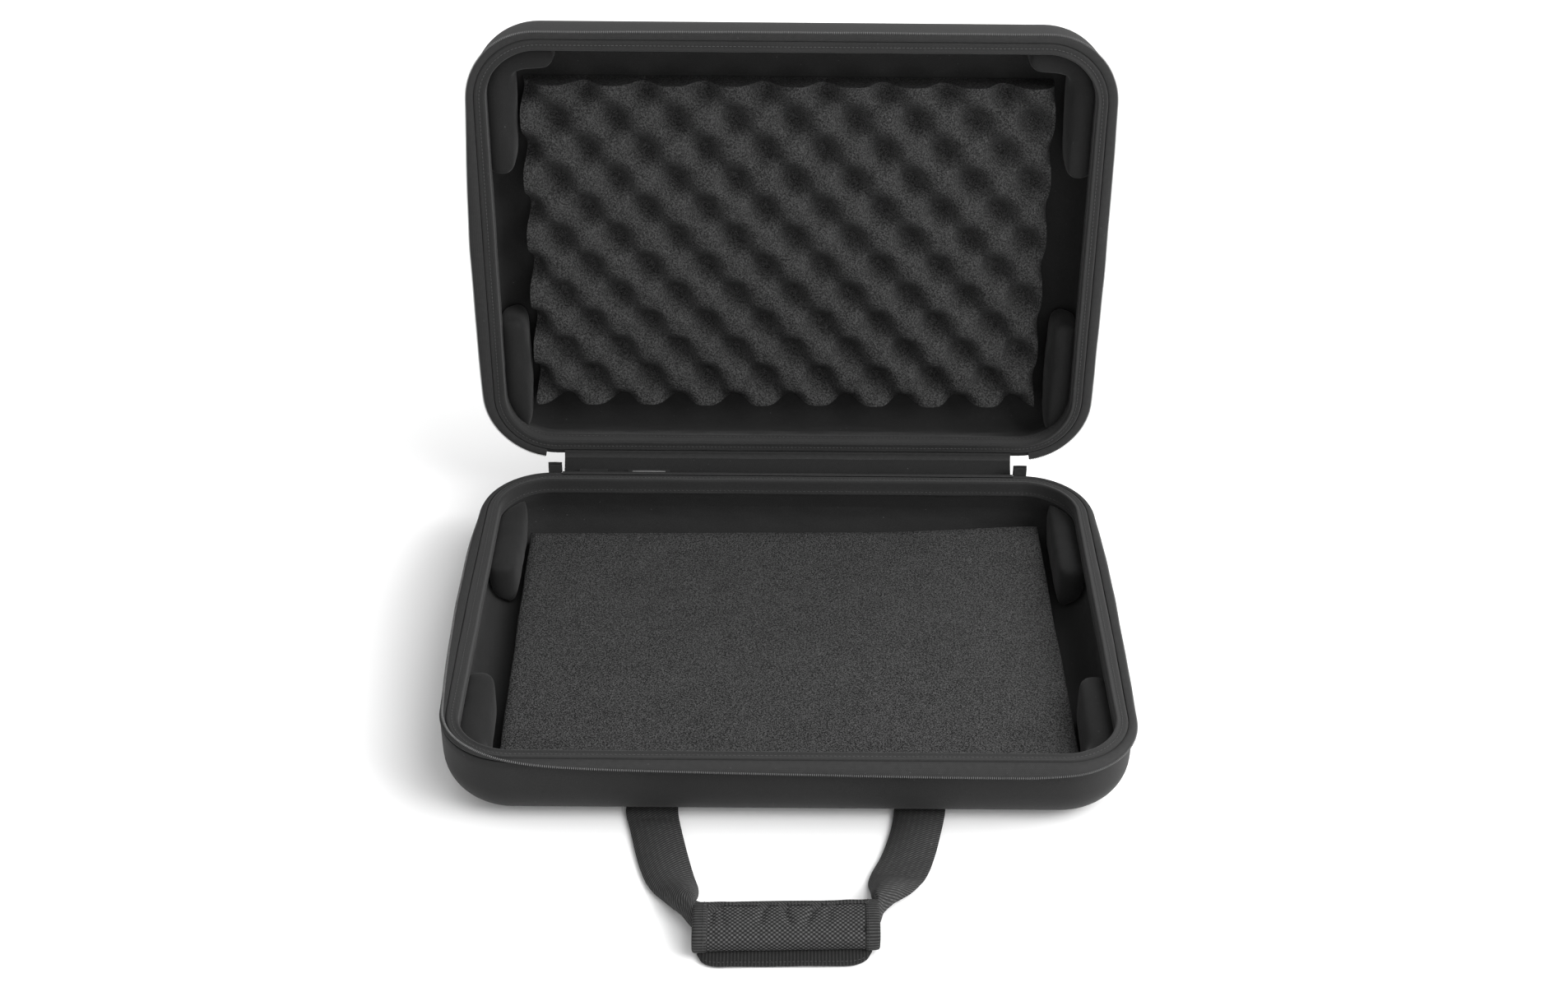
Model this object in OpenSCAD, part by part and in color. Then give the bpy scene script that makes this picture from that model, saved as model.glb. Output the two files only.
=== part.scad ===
// Soft-moulded clamshell carry case: two foam-moulded shells joined by a fabric hinge,
// closed by a zip that runs round three sides, with a padded carrying handle in front.
// The case stands open. Up is +Z, the handle lies towards -Y, the hinge is at +Y.
// The origin is the middle of the base's flat underside.

/* [Case] */
// Width between the middles of the two side lips
lip_w = 497; // [400:1:600]
// Depth between the middles of the front and back lips
lip_d = 364; // [300:1:440]
// Plan radius of the corners along the middle of the lip
corner_r = 48; // [40:1:60]
// Height of the base from its underside to the parting plane
base_h = 62; // [56:1:90]
// Height of the lid from the parting plane to its top
lid_h = 58; // [54:1:90]
// Thickness of the moulded shells
shell_t = 6; // [4:0.5:8]
// Thickness of the soft lining
lining_t = 1.5; // [1:0.5:2]
// Radius of the base's rounded bottom edge
base_edge_r = 32; // [26:1:34]
// Radius of the lid's rounded top edge
lid_edge_r = 27; // [22:1:32]

/* [Opening] */
// How far the lid stands open, in degrees from shut
open_angle = 92.5; // [60:0.5:120]
// Distance of the hinge line behind the middle of the back lip
hinge_back = 19.4; // [16:0.1:24]
// Distance of the hinge line below the parting plane
hinge_drop = 10; // [6:0.5:14]
// Width of the fabric hinge strip
strip_w = 386; // [300:1:400]

/* [Foam and pads] */
// Width of the flat foam in the base
base_foam_w = 436; // [380:1:438]
// Depth of the flat foam in the base
base_foam_d = 304; // [260:1:306]
// Thickness of the flat foam in the base
base_foam_t = 14; // [8:1:24]
// Turn of the loose foam in the base, in degrees
base_foam_turn = 0.9; // [0:0.1:1]
// Width of the wave foam in the lid
lid_foam_w = 437; // [380:1:438]
// Depth of the wave foam in the lid
lid_foam_d = 299; // [260:1:300]
// Thickness of the wave foam at its crests
lid_foam_t = 28; // [16:1:32]
// Height of the corner pads
pad_h = 41; // [20:1:44]
// Length of the corner pads along the sides
pad_len = 118; // [80:1:140]
// Length of the front pads along the front wall
pad_leg = 62; // [40:1:90]

/* [Handle] */
// Width of the webbing
web_w = 38; // [30:1:50]
// Thickness of the webbing
web_t = 2.4; // [1.5:0.1:3]
// Distance between the middles of the two webbing runs
web_gap = 198; // [180:1:220]
// Length of the padded grip
grip_l = 128; // [110:1:134]
// Width of the padded grip across its flat side
grip_w = 42; // [36:1:48]
// Thickness of the padded grip
grip_t = 20; // [16:1:24]

/* [Zip] */
// Height of each zip tape
tape_h = 14; // [10:1:16]
// Length of the zip pullers
puller_l = 30; // [20:1:36]

/* [Hidden] */
$fn = 96;

// Offsets from the middle of the lip, outwards positive
shell_out = 7;
shell_in = shell_out - shell_t;
lining_in = shell_in - lining_t;
lip_half = 3.5;
rim_in = -5.5;
pad_clear = 1;
pad_in = -26.5;
pad_front_in = -27;

// Heights about the parting plane
lip_gap = 0.4;
lip_bead = 5;
rim_drop = 14;
seam_eps = 0.3;
row_gap = 1.5;
tooth_h = 1.7;
tape_t = 1.1;
tape_lean = 2.8;
tooth_in = 9.4;
tooth_out = 11.4;

// Where the pads and foams sit
floor_in = shell_t + lining_t;
foam_play = 0.5;
base_foam_lift = 1.2;
base_foam_y = 5;
lid_foam_x = -1.5;
lid_foam_y = 12;
pad_end_r = 12;

// The hinge line
hinge_y = lip_d / 2 + hinge_back;
hinge_z = base_h - hinge_drop;
strip_t = 1.3;
strip_bare = 5.2;
strip_seam_drop = 4;
base_tape_end_x = 194;
lid_tape_end_x = 210;

// The labels on the hinge strip
tab_t = 0.6;
maker_tab_x = -120;
maker_tab_w = 36;
care_tab_x = -168;
care_tab_w = 24;

// The handle, from its root under the front edge to the grip
handle_z = 0.5;
handle_root_y = -lip_d / 2 - 8;
anchor_back_y = -lip_d / 2 + 15;
anchor_z = 0.3;
anchor_gap = 1.8;
grip_y = handle_root_y - 110;
grip_wall = 4;
grip_mid_z = grip_t / 2;
core_w = 18;
core_y = grip_y + 8;
riser_l = 7;
binding_l = 9;
binding_grow = 0.9;
flap_w = 108;
flap_d = 11.5;
flap_t = 2.4;
flap_r = 5.5;
flap_tuck = 1.5;

// The slider straddles both rows of teeth
slider_sweep = 11;
wing_in = 7.7;
wing_in_t = 1.1;
wing_out = 11.9;
wing_out_t = 1.5;
wing_h = 9.6;
bridge_h = 2;
pin_r = 0.9;
pin_off = 16;
pin_len = 8;
lug_t = 1.4;
eye_r = 1.15;
eye_out_r = 2.3;
puller_w = 4.6;
puller_t = 1.6;

// Colours
shell_grey = [0.10, 0.10, 0.11];
lining_grey = [0.16, 0.16, 0.17];
foam_grey = [0.22, 0.22, 0.23];
web_grey = [0.14, 0.14, 0.15];
metal_grey = [0.30, 0.30, 0.32];

// A profile drawn as (offset outwards, height), carried once round the line of the lip
module round_lip() {
    long_x = lip_w - 2 * corner_r;
    long_y = lip_d - 2 * corner_r;
    for (k = [0:3]) {
        sx = (k == 0 || k == 3) ? 1 : -1;
        sy = (k < 2) ? 1 : -1;
        translate([sx * long_x / 2, sy * long_y / 2, 0])
            rotate([0, 0, 90 * k])
                rotate_extrude(angle = 90) translate([corner_r, 0]) children();
    }
    for (k = [0:3]) {
        run = (k % 2 == 0) ? long_y : long_x;
        reach = (k % 2 == 0) ? lip_w / 2 : lip_d / 2;
        rotate([0, 0, 90 * k])
            translate([reach, 0, 0])
                rotate([90, 0, 0]) linear_extrude(run, center = true) children();
    }
}

// A solid block bounded by the lip line moved out by side, with its bottom edge rounded
module tub(side, z0, z1, edge) {
    round_lip() {
        translate([-corner_r, z0 + edge]) square([corner_r + side, z1 - z0 - edge]);
        translate([-corner_r, z0]) square([corner_r + side - edge, edge]);
        translate([side - edge, z0 + edge]) intersection() {
            circle(edge);
            translate([0, -edge]) square(edge);
        }
    }
    translate([-lip_w / 2 + corner_r, -lip_d / 2 + corner_r, z0])
        cube([lip_w - 2 * corner_r, lip_d - 2 * corner_r, z1 - z0]);
}

// Both halves are drawn standing on their own flat face, with height h
module half_shell(h, edge) {
    difference() {
        tub(shell_out, 0, h - lip_bead, edge);
        tub(shell_in, shell_t, h + 1, edge - shell_t);
    }
}

module half_lining(h, edge) {
    difference() {
        tub(shell_in, shell_t, h - rim_drop, edge - shell_t);
        tub(lining_in, floor_in, h + 1, edge - floor_in);
    }
}

// The raised lip with the binding that falls inside it
module half_rim(h) {
    round_lip() {
        translate([rim_in, h - rim_drop]) square([shell_in - rim_in, rim_drop - lip_bead]);
        translate([rim_in, h - lip_bead]) square([lip_half - rim_in, lip_bead - lip_half]);
        translate([rim_in, h - lip_half]) square([-rim_in, lip_half - lip_gap]);
        translate([0, h - lip_half]) intersection() {
            circle(lip_half - lip_gap);
            square(lip_half);
        }
    }
}

// Everything of a zip half but its stretch along the back, up to end_x on both sides
module without_back(end_x) {
    difference() {
        children();
        translate([-end_x, 0, -1]) cube([2 * end_x, lip_d, base_h + lid_h]);
    }
}

module half_tape(h, end_x) {
    top = h - row_gap - tooth_h;
    without_back(end_x) round_lip() polygon([
        [shell_out, top - tape_h],
        [shell_out + tape_t, top - tape_h],
        [shell_out + tape_lean + tape_t, top],
        [shell_out + tape_lean, top]
    ]);
}

module half_teeth(h, end_x) {
    without_back(end_x) round_lip()
        translate([tooth_in, h - row_gap - tooth_h]) square([tooth_out - tooth_in, tooth_h]);
}

// The room inside a half, a little smaller than its lining, and narrower beside the rim
module cavity(h, edge) {
    tub(lining_in - pad_clear, floor_in, h - rim_drop - seam_eps, edge - floor_in - pad_clear);
    tub(rim_in - pad_clear, floor_in, h, edge - floor_in - pad_clear);
}

// A pad in the front left corner, with a leg along the front wall
module front_pad(h, edge) {
    x_in = -lip_w / 2 - pad_in;
    y_in = -lip_d / 2 - pad_front_in;
    x_out = -lip_w / 2;
    y_out = -lip_d / 2;
    side_end = y_out + pad_len;
    leg_end = x_out + pad_leg;
    intersection() {
        cavity(h, edge);
        translate([0, 0, floor_in]) linear_extrude(pad_h) {
            translate([x_out, y_out]) square([x_in - x_out, pad_len - pad_end_r]);
            translate([x_out, side_end - pad_end_r]) square([x_in - x_out - pad_end_r, pad_end_r]);
            translate([x_in - pad_end_r, side_end - pad_end_r]) circle(pad_end_r);
            translate([x_out, y_out]) square([pad_leg - pad_end_r, y_in - y_out]);
            translate([leg_end - pad_end_r, y_out]) square([pad_end_r, y_in - y_out - pad_end_r]);
            translate([leg_end - pad_end_r, y_in - pad_end_r]) circle(pad_end_r);
        }
    }
}

// A straight pad along the left wall, beside the hinge
module back_pad(h, edge) {
    x_in = -lip_w / 2 - pad_in;
    x_out = -lip_w / 2;
    side_end = lip_d / 2 - pad_len;
    intersection() {
        cavity(h, edge);
        translate([0, 0, floor_in]) linear_extrude(pad_h) {
            translate([x_out, side_end + pad_end_r]) square([x_in - x_out, pad_len]);
            translate([x_out, side_end]) square([x_in - x_out - pad_end_r, pad_end_r]);
            translate([x_in - pad_end_r, side_end + pad_end_r]) circle(pad_end_r);
        }
    }
}

// Turns a half that stands on its face over, so that it shuts on the base
module turned_over() {
    translate([0, 0, base_h + lid_h]) mirror([0, 0, 1]) children();
}

// Swings the shut lid back to where it stands open
module opened() {
    translate([0, hinge_y, hinge_z]) rotate([-open_angle, 0, 0])
        translate([0, -hinge_y, -hinge_z]) children();
}

module lid_half() {
    opened() turned_over() children();
}

module base_shell() {
    color(shell_grey) half_shell(base_h, base_edge_r);
}

module base_lining() {
    color(lining_grey) half_lining(base_h, base_edge_r);
}

module base_rim() {
    color(shell_grey) half_rim(base_h);
}

module base_zip_tape() {
    color(web_grey) half_tape(base_h, base_tape_end_x);
}

module base_zip_teeth() {
    color(metal_grey) half_teeth(base_h, base_tape_end_x);
}

module lid_shell() {
    color(shell_grey) lid_half() half_shell(lid_h, lid_edge_r);
}

module lid_lining() {
    color(lining_grey) lid_half() half_lining(lid_h, lid_edge_r);
}

module lid_rim() {
    color(shell_grey) lid_half() half_rim(lid_h);
}

module lid_zip_tape() {
    color(web_grey) lid_half() half_tape(lid_h, lid_tape_end_x);
}

module lid_zip_teeth() {
    color(metal_grey) lid_half() half_teeth(lid_h, lid_tape_end_x);
}

// One leaf of the fabric hinge: a flat band from a wall towards the hinge line
module strip_leaf(width, seam_z, lift, thick, reach) {
    seam_y = lip_d / 2 + shell_out;
    dy = hinge_y - seam_y;
    dz = hinge_z - seam_z;
    leaf = norm([dy, dz]);
    translate([0, seam_y, seam_z]) rotate([atan2(dz, dy), 0, 0])
        translate([-width / 2, seam_eps + lift, lift - strip_t / 2])
            cube([width, (leaf - strip_bare - seam_eps - lift) * reach, thick]);
}

module hinge_strip_base() {
    color(web_grey) strip_leaf(strip_w, base_h - strip_seam_drop, 0, strip_t, 1);
}

module hinge_strip_lid() {
    color(web_grey) opened() strip_leaf(strip_w, base_h + strip_seam_drop, 0, strip_t, 1);
}

module tab(x, width) {
    translate([x, 0, 0]) strip_leaf(width, base_h - strip_seam_drop, strip_t, tab_t, 0.95);
}

module maker_tab() {
    color(web_grey) tab(maker_tab_x, maker_tab_w);
}

module care_tab() {
    color(web_grey) tab(care_tab_x, care_tab_w);
}

module base_pad_front_left() {
    color(lining_grey) front_pad(base_h, base_edge_r);
}

module base_pad_front_right() {
    color(lining_grey) mirror([1, 0, 0]) front_pad(base_h, base_edge_r);
}

module base_pad_back_left() {
    color(lining_grey) back_pad(base_h, base_edge_r);
}

module base_pad_back_right() {
    color(lining_grey) mirror([1, 0, 0]) back_pad(base_h, base_edge_r);
}

module lid_pad_front_left() {
    color(lining_grey) lid_half() front_pad(lid_h, lid_edge_r);
}

module lid_pad_front_right() {
    color(lining_grey) lid_half() mirror([1, 0, 0]) front_pad(lid_h, lid_edge_r);
}

module lid_pad_back_left() {
    color(lining_grey) lid_half() back_pad(lid_h, lid_edge_r);
}

module lid_pad_back_right() {
    color(lining_grey) lid_half() mirror([1, 0, 0]) back_pad(lid_h, lid_edge_r);
}

module base_foam() {
    color(foam_grey)
        translate([0, base_foam_y, floor_in + base_foam_lift]) rotate([0, 0, base_foam_turn])
            translate([-base_foam_w / 2, -base_foam_d / 2, 0])
                cube([base_foam_w, base_foam_d, base_foam_t]);
}

module lid_foam() {
    color(foam_grey) lid_half()
        translate([lid_foam_x - lid_foam_w / 2, lid_foam_y - lid_foam_d / 2, floor_in + foam_play])
            cube([lid_foam_w, lid_foam_d, lid_foam_t]);
}

// The stub of webbing that is sewn under the base's front edge
module strap_anchor(x) {
    fillet_y = -lip_d / 2 - shell_out + base_edge_r;
    difference() {
        translate([x - web_w / 2, handle_root_y + anchor_gap, anchor_z])
            cube([web_w, anchor_back_y - handle_root_y - anchor_gap, web_t]);
        translate([0, fillet_y, base_edge_r]) rotate([0, 90, 0])
            cylinder(r = base_edge_r + 0.05, h = lip_w, center = true);
    }
}

module strap_anchor_left() {
    color(web_grey) strap_anchor(-web_gap / 2);
}

module strap_anchor_right() {
    color(web_grey) strap_anchor(web_gap / 2);
}

// The left run of webbing in plan, from the root to the end of the grip
module web_run() {
    outer = -web_gap / 2 - web_w / 2;
    inner = -web_gap / 2 + web_w / 2;
    end = -grip_l / 2 - seam_eps;
    core_front = core_y - core_w / 2;
    polygon([
        [outer, handle_root_y - seam_eps],
        [inner, handle_root_y - seam_eps],
        [inner + 5, handle_root_y - 12],
        [inner + 10, handle_root_y - 36],
        [end, handle_root_y - 61],
        [end, core_front],
        [end - riser_l, core_front],
        [end - 22, core_y + 22],
        [outer + 18, handle_root_y - 62],
        [outer + 12, handle_root_y - 41],
        [outer + 6, handle_root_y - 12]
    ]);
}

// One length of webbing: both runs, and the folded stretch that the grip wraps
module handle_webbing() {
    end = grip_l / 2 + seam_eps + riser_l;
    color(web_grey) {
        for (side = [0, 1]) mirror([side, 0, 0]) {
            translate([0, 0, handle_z]) linear_extrude(web_t) web_run();
            translate([-end, core_y - core_w / 2, handle_z])
                cube([riser_l, core_w, grip_mid_z + web_t / 2 - handle_z]);
        }
        translate([-end, core_y - core_w / 2, grip_mid_z - web_t / 2])
            cube([2 * end, core_w, web_t]);
    }
}

// A flat bar with round long edges, lying along the grip
module grip_bar(length, width, thick) {
    translate([0, grip_y, grip_mid_z]) rotate([0, 90, 0]) linear_extrude(length, center = true) {
        square([thick, width - thick], center = true);
        for (s = [-1, 1]) translate([0, s * (width - thick) / 2]) circle(thick / 2);
    }
}

// The foam sleeve between the webbing and the wrap
module grip_core() {
    color(foam_grey) difference() {
        grip_bar(grip_l - 1, grip_w - 2 * grip_wall, grip_t - 2 * grip_wall);
        translate([0, core_y, grip_mid_z])
            cube([grip_l, core_w + 0.4, web_t + 0.4], center = true);
    }
}

module grip_wrap() {
    color(web_grey) difference() {
        grip_bar(grip_l - 2 * binding_l - 2 * seam_eps, grip_w, grip_t);
        grip_bar(grip_l, grip_w - 2 * grip_wall + 0.2, grip_t - 2 * grip_wall + 0.2);
    }
}

module grip_binding(side) {
    color(web_grey) translate([side * (grip_l - binding_l) / 2, 0, 0]) difference() {
        translate([0, 0, binding_grow])
            grip_bar(binding_l, grip_w + 2 * binding_grow, grip_t + 2 * binding_grow - 0.4);
        grip_bar(grip_l, grip_w - 2 * grip_wall + 0.2, grip_t - 2 * grip_wall + 0.2);
    }
}

module grip_binding_left() {
    grip_binding(-1);
}

module grip_binding_right() {
    grip_binding(1);
}

// The end of the wrap that closes over itself, with two round corners
module grip_flap() {
    back_y = grip_y - grip_w / 2 + flap_tuck;
    color(web_grey) translate([0, back_y - flap_d, anchor_z]) linear_extrude(flap_t) {
        translate([-flap_w / 2, flap_r]) square([flap_w, flap_d - flap_r]);
        translate([-flap_w / 2 + flap_r, 0]) square([flap_w - 2 * flap_r, flap_d]);
        for (s = [-1, 1]) translate([s * (flap_w / 2 - flap_r), flap_r]) circle(flap_r);
    }
}

// Places a piece drawn about the middle of the right back corner, y outwards
module at_slider() {
    translate([lip_w / 2 - corner_r, lip_d / 2 - corner_r, base_h]) children();
}

// A slider body swept about the middle of the corner, with a pin for its puller
module zip_slider() {
    at_slider() {
        rotate([0, 0, 90 - slider_sweep / 2]) rotate_extrude(angle = slider_sweep) {
            translate([corner_r + wing_in, -wing_h / 2]) square([wing_in_t, wing_h]);
            translate([corner_r + wing_out, -wing_h / 2]) square([wing_out_t, wing_h]);
            translate([corner_r + wing_in, -bridge_h / 2])
                square([wing_out + wing_out_t - wing_in, bridge_h]);
        }
        for (s = [-1, 1])
            translate([s * (pin_len - lug_t) / 2, corner_r + wing_out + wing_out_t / 2, 0])
                translate([-lug_t / 2, 0, -eye_out_r / 2])
                    cube([lug_t, pin_off - wing_out - wing_out_t / 2 + pin_r, eye_out_r]);
        translate([0, corner_r + pin_off, 0]) rotate([0, 90, 0])
            cylinder(r = pin_r, h = pin_len, center = true);
    }
}

module zip_slider_right() {
    color(metal_grey) zip_slider();
}

module zip_slider_left() {
    color(metal_grey) mirror([1, 0, 0]) zip_slider();
}

// The puller hangs from the slider's pin by an eye
module zip_puller() {
    at_slider() translate([0, corner_r + pin_off, 0]) rotate([0, 90, 0]) {
        difference() {
            union() {
                cylinder(r = eye_out_r, h = puller_w, center = true);
                translate([0, -puller_t / 2, -puller_w / 2]) cube([puller_l, puller_t, puller_w]);
            }
            cylinder(r = eye_r, h = puller_w + 1, center = true);
        }
    }
}

module zip_puller_right() {
    color(metal_grey) zip_puller();
}

module zip_puller_left() {
    color(metal_grey) mirror([1, 0, 0]) zip_puller();
}

base_shell();
base_lining();
base_rim();
base_zip_tape();
base_zip_teeth();
hinge_strip_base();
maker_tab();
care_tab();
base_pad_front_left();
base_pad_front_right();
base_pad_back_left();
base_pad_back_right();
strap_anchor_left();
strap_anchor_right();
base_foam();
lid_shell();
lid_lining();
lid_rim();
lid_zip_tape();
lid_zip_teeth();
hinge_strip_lid();
lid_foam();
lid_pad_front_left();
lid_pad_front_right();
lid_pad_back_left();
lid_pad_back_right();
handle_webbing();
grip_core();
grip_wrap();
grip_binding_left();
grip_binding_right();
grip_flap();
zip_slider_left();
zip_slider_right();
zip_puller_left();
zip_puller_right();
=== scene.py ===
import bmesh
import bpy
import math
import numpy as np
from mathutils import Matrix, Vector, noise


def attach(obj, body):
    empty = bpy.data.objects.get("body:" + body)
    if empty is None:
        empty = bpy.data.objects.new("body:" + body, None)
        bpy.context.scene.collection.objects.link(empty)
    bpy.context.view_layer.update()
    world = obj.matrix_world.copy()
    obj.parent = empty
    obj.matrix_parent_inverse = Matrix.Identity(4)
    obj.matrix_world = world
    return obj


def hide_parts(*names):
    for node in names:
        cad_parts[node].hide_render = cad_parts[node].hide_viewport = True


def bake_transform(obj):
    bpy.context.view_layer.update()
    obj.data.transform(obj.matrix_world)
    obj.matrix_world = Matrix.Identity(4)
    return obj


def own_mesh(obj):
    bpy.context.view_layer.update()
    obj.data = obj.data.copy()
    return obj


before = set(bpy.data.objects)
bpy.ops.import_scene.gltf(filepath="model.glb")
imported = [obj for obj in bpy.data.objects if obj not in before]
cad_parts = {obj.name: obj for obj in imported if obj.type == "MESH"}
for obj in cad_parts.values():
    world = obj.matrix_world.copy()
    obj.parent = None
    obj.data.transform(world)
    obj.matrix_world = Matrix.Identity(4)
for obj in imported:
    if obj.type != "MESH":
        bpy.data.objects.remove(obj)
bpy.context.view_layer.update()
scene = bpy.context.scene
mm = 0.001

case = {
    "lipWidth": 497, "lipDepth": 364, "cornerRadius": 48,  # along the middle of the raised lip
    "height": {"base": 62, "lid": 58},
    "edgeRadius": {"base": 32, "lid": 27},  # the rounded outer edge of each half
    "sideBow": {"base": 2.6, "lid": 0.8},  # how far the soft sides stand out between the corners
    "openAngle": 92.5, "hingeY": 201.4, "hingeZ": 52,
}


# lengths and curves

def smooth(value, low, high):
    t = np.clip((value - low) / (high - low), 0, 1)
    return t * t * (3 - 2 * t)


def bumpy(x, y, z, size):  # gentle unevenness between -1 and 1
    return noise.noise(Vector((x / size, y / size, z / size)))


def along(keys, count):  # a smooth curve through the key points
    keys = np.array(keys, float)
    padded = np.vstack([2 * keys[0] - keys[1], keys, 2 * keys[-1] - keys[-2]])
    places = np.linspace(0, len(keys) - 1, count)
    i = np.minimum(places.astype(int), len(keys) - 2)
    t = (places - i)[:, None]
    a, b, c, d = padded[i], padded[i + 1], padded[i + 2], padded[i + 3]
    return 0.5 * (2 * b + (c - a) * t + (2 * a - 5 * b + 4 * c - d) * t ** 2
                  + (3 * b - a - 3 * c + d) * t ** 3)


def table(keys, value, reach=12):  # a smooth value between the keys (place, a, b, ...)
    keys = np.array(keys, float)
    places = value + np.linspace(-reach, reach, 9)
    return [np.interp(places, keys[:, 0], column).mean() for column in keys[:, 1:].T]


def lipLine(step=5.0, cornerSteps=16):
    # the lip's middle line from the middle of the back, by the left side, all the way round
    r = case["cornerRadius"]
    lx, ly = case["lipWidth"] / 2 - r, case["lipDepth"] / 2 - r
    rows, run = [], 0.0

    def straight(x0, y0, x1, y1, nx, ny):
        nonlocal run
        length = math.hypot(x1 - x0, y1 - y0)
        count = max(1, round(length / step))
        for k in range(count):
            t = k / count
            rows.append((x0 + (x1 - x0) * t, y0 + (y1 - y0) * t, nx, ny, run + length * t))
        run += length

    def corner(cx, cy, start):
        nonlocal run
        for k in range(cornerSteps):
            a = math.radians(start + 90 * k / cornerSteps)
            rows.append((cx + r * math.cos(a), cy + r * math.sin(a), math.cos(a), math.sin(a),
                         run + r * math.pi / 2 * k / cornerSteps))
        run += r * math.pi / 2

    straight(0, ly + r, -lx, ly + r, 0, 1)
    corner(-lx, ly, 90)
    straight(-lx - r, ly, -lx - r, -ly, -1, 0)
    corner(-lx, -ly, 180)
    straight(-lx, -ly - r, lx, -ly - r, 0, -1)
    corner(lx, -ly, 270)
    straight(lx + r, -ly, lx + r, ly, 1, 0)
    corner(lx, ly, 0)
    straight(lx, ly + r, 0, ly + r, 0, 1)
    return np.array(rows), run


lip, lipLength = lipLine()


def lipPart(start, end, step):  # the stretch of the lip line between two distances along it
    count = round((end - start) / step)
    places = np.linspace(start, end, count + 1)
    runs = np.append(lip[:, 4], lipLength)
    whole = np.vstack([lip, lip[:1]])
    part = np.stack([np.interp(places, runs, whole[:, k]) for k in range(4)] + [places], 1)
    part[:, 2:4] /= np.linalg.norm(part[:, 2:4], axis=1)[:, None]
    return part


def onHalf(half, station, offset, drop):
    # a point by its offset outwards from the lip line and its height about the parting plane
    x, y, nx, ny, s = station
    height = case["height"][half] + drop
    bow = case["sideBow"][half] * (1 - (2 * y / case["lipDepth"]) ** 2) ** 2 if abs(y) < 182 else 0
    bow *= float(smooth(offset, -2, 9)) * float(smooth(height, 5, 45)) * nx
    return x + nx * offset + bow, y + ny * offset, height


def lidTurn():
    full = case["height"]["base"] + case["height"]["lid"]
    hinge = Vector((0, case["hingeY"], case["hingeZ"])) * mm
    shut = Matrix.Translation((0, 0, full * mm)) @ Matrix.Diagonal((1, 1, -1, 1))
    swing = Matrix.Rotation(math.radians(-case["openAngle"]), 4, "X")
    return Matrix.Translation(hinge) @ swing @ Matrix.Translation(-hinge) @ shut


lidMatrix = lidTurn()
lidUp = (lidMatrix.to_3x3() @ Vector((0, 0, 1))).normalized()


# meshes

def finishMesh(name, mesh, half="base", sharp=40):
    if half == "lid":
        mesh.transform(lidMatrix)
    work = bmesh.new()
    work.from_mesh(mesh)
    bmesh.ops.recalc_face_normals(work, faces=work.faces)
    work.to_mesh(mesh)
    work.free()
    mesh.shade_smooth()
    if sharp:
        mesh.set_sharp_from_angle(angle=math.radians(sharp))
    obj = bpy.data.objects.new(name, mesh)
    scene.collection.objects.link(obj)
    return obj


def gridMesh(name, grid, half="base", ringed=False, looped=False, capRows=False, capColumns=False,
             u=None, v=None, sharp=40):
    grid = np.array(grid, float)
    n, m = grid.shape[:2]
    faces, corners = [], []
    u = np.arange(n + 1) * mm if u is None else np.append(u, 2 * u[-1] - u[-2])
    v = np.arange(m + 1) * mm if v is None else np.append(v, 2 * v[-1] - v[-2])
    for i in range(n if ringed else n - 1):
        i2 = (i + 1) % n
        for j in range(m if looped else m - 1):
            j2 = (j + 1) % m
            faces.append((i * m + j, i2 * m + j, i2 * m + j2, i * m + j2))
            corners += [(u[i], v[j]), (u[i + 1], v[j]), (u[i + 1], v[j + 1]), (u[i], v[j + 1])]
    if capRows:  # the two ends of a looped profile, closed straight across
        for i in (0, n - 1):
            for j in range(m // 2 - 1):
                faces.append((i * m + j, i * m + j + 1, i * m + m - 2 - j, i * m + m - 1 - j))
                corners += [(u[i], v[j]), (u[i], v[j + 1]), (u[i], v[j + 1]), (u[i], v[j])]
    if capColumns:
        for j in (0, m - 1):
            faces.append(tuple(i * m + j for i in range(n)))
            corners += [(grid[i, j, 0] * mm, grid[i, j, 1] * mm) for i in range(n)]
    mesh = bpy.data.meshes.new(name)
    mesh.from_pydata((grid.reshape(-1, 3) * mm).tolist(), [], faces)
    layer = mesh.uv_layers.new(name="run")
    layer.data.foreach_set("uv", np.array(corners, float).ravel())
    return finishMesh(name, mesh, half, sharp)


def lengths(points):
    return np.append(0, np.cumsum(np.linalg.norm(np.diff(np.array(points, float), axis=0), axis=1)))


def thickSheet(name, middle, thickness, half="base", edge=0.35, sharp=50):
    # a cloth band with two sides and thin edges, from the grid of its middle layer
    middle = np.array(middle, float)
    n, m = middle.shape[:2]
    down, across = np.gradient(middle, axis=0), np.gradient(middle, axis=1)
    normal = np.cross(down, across)
    normal /= np.linalg.norm(normal, axis=2)[:, :, None] + 1e-12
    thin = np.ones(m)
    thin[0] = thin[-1] = edge
    move = normal * (thickness / 2 * thin)[None, :, None]
    loop = np.concatenate([middle + move, (middle - move)[:, ::-1]], axis=1)
    u = lengths(middle[:, m // 2]) * mm
    v = lengths(middle[n // 2]) * mm
    v = np.append(v, v[-1] + v[-1] - v[::-1] + thickness * mm)
    return gridMesh(name, loop, half, looped=True, capRows=True, u=u, v=v, sharp=sharp)


def ringPiece(name, half, profileAt, looped=False, sharp=40):
    # a profile carried all the way round the lip; profileAt gives (offset, drop) pairs
    grid = [[onHalf(half, station, *pair) for pair in profileAt(station)] for station in lip]
    return gridMesh(name, grid, half, ringed=True, looped=looped, capColumns=not looped,
                    u=lip[:, 4] * mm, v=lengths(profileAt(lip[0])) * mm, sharp=sharp)


# geometry nodes

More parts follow.
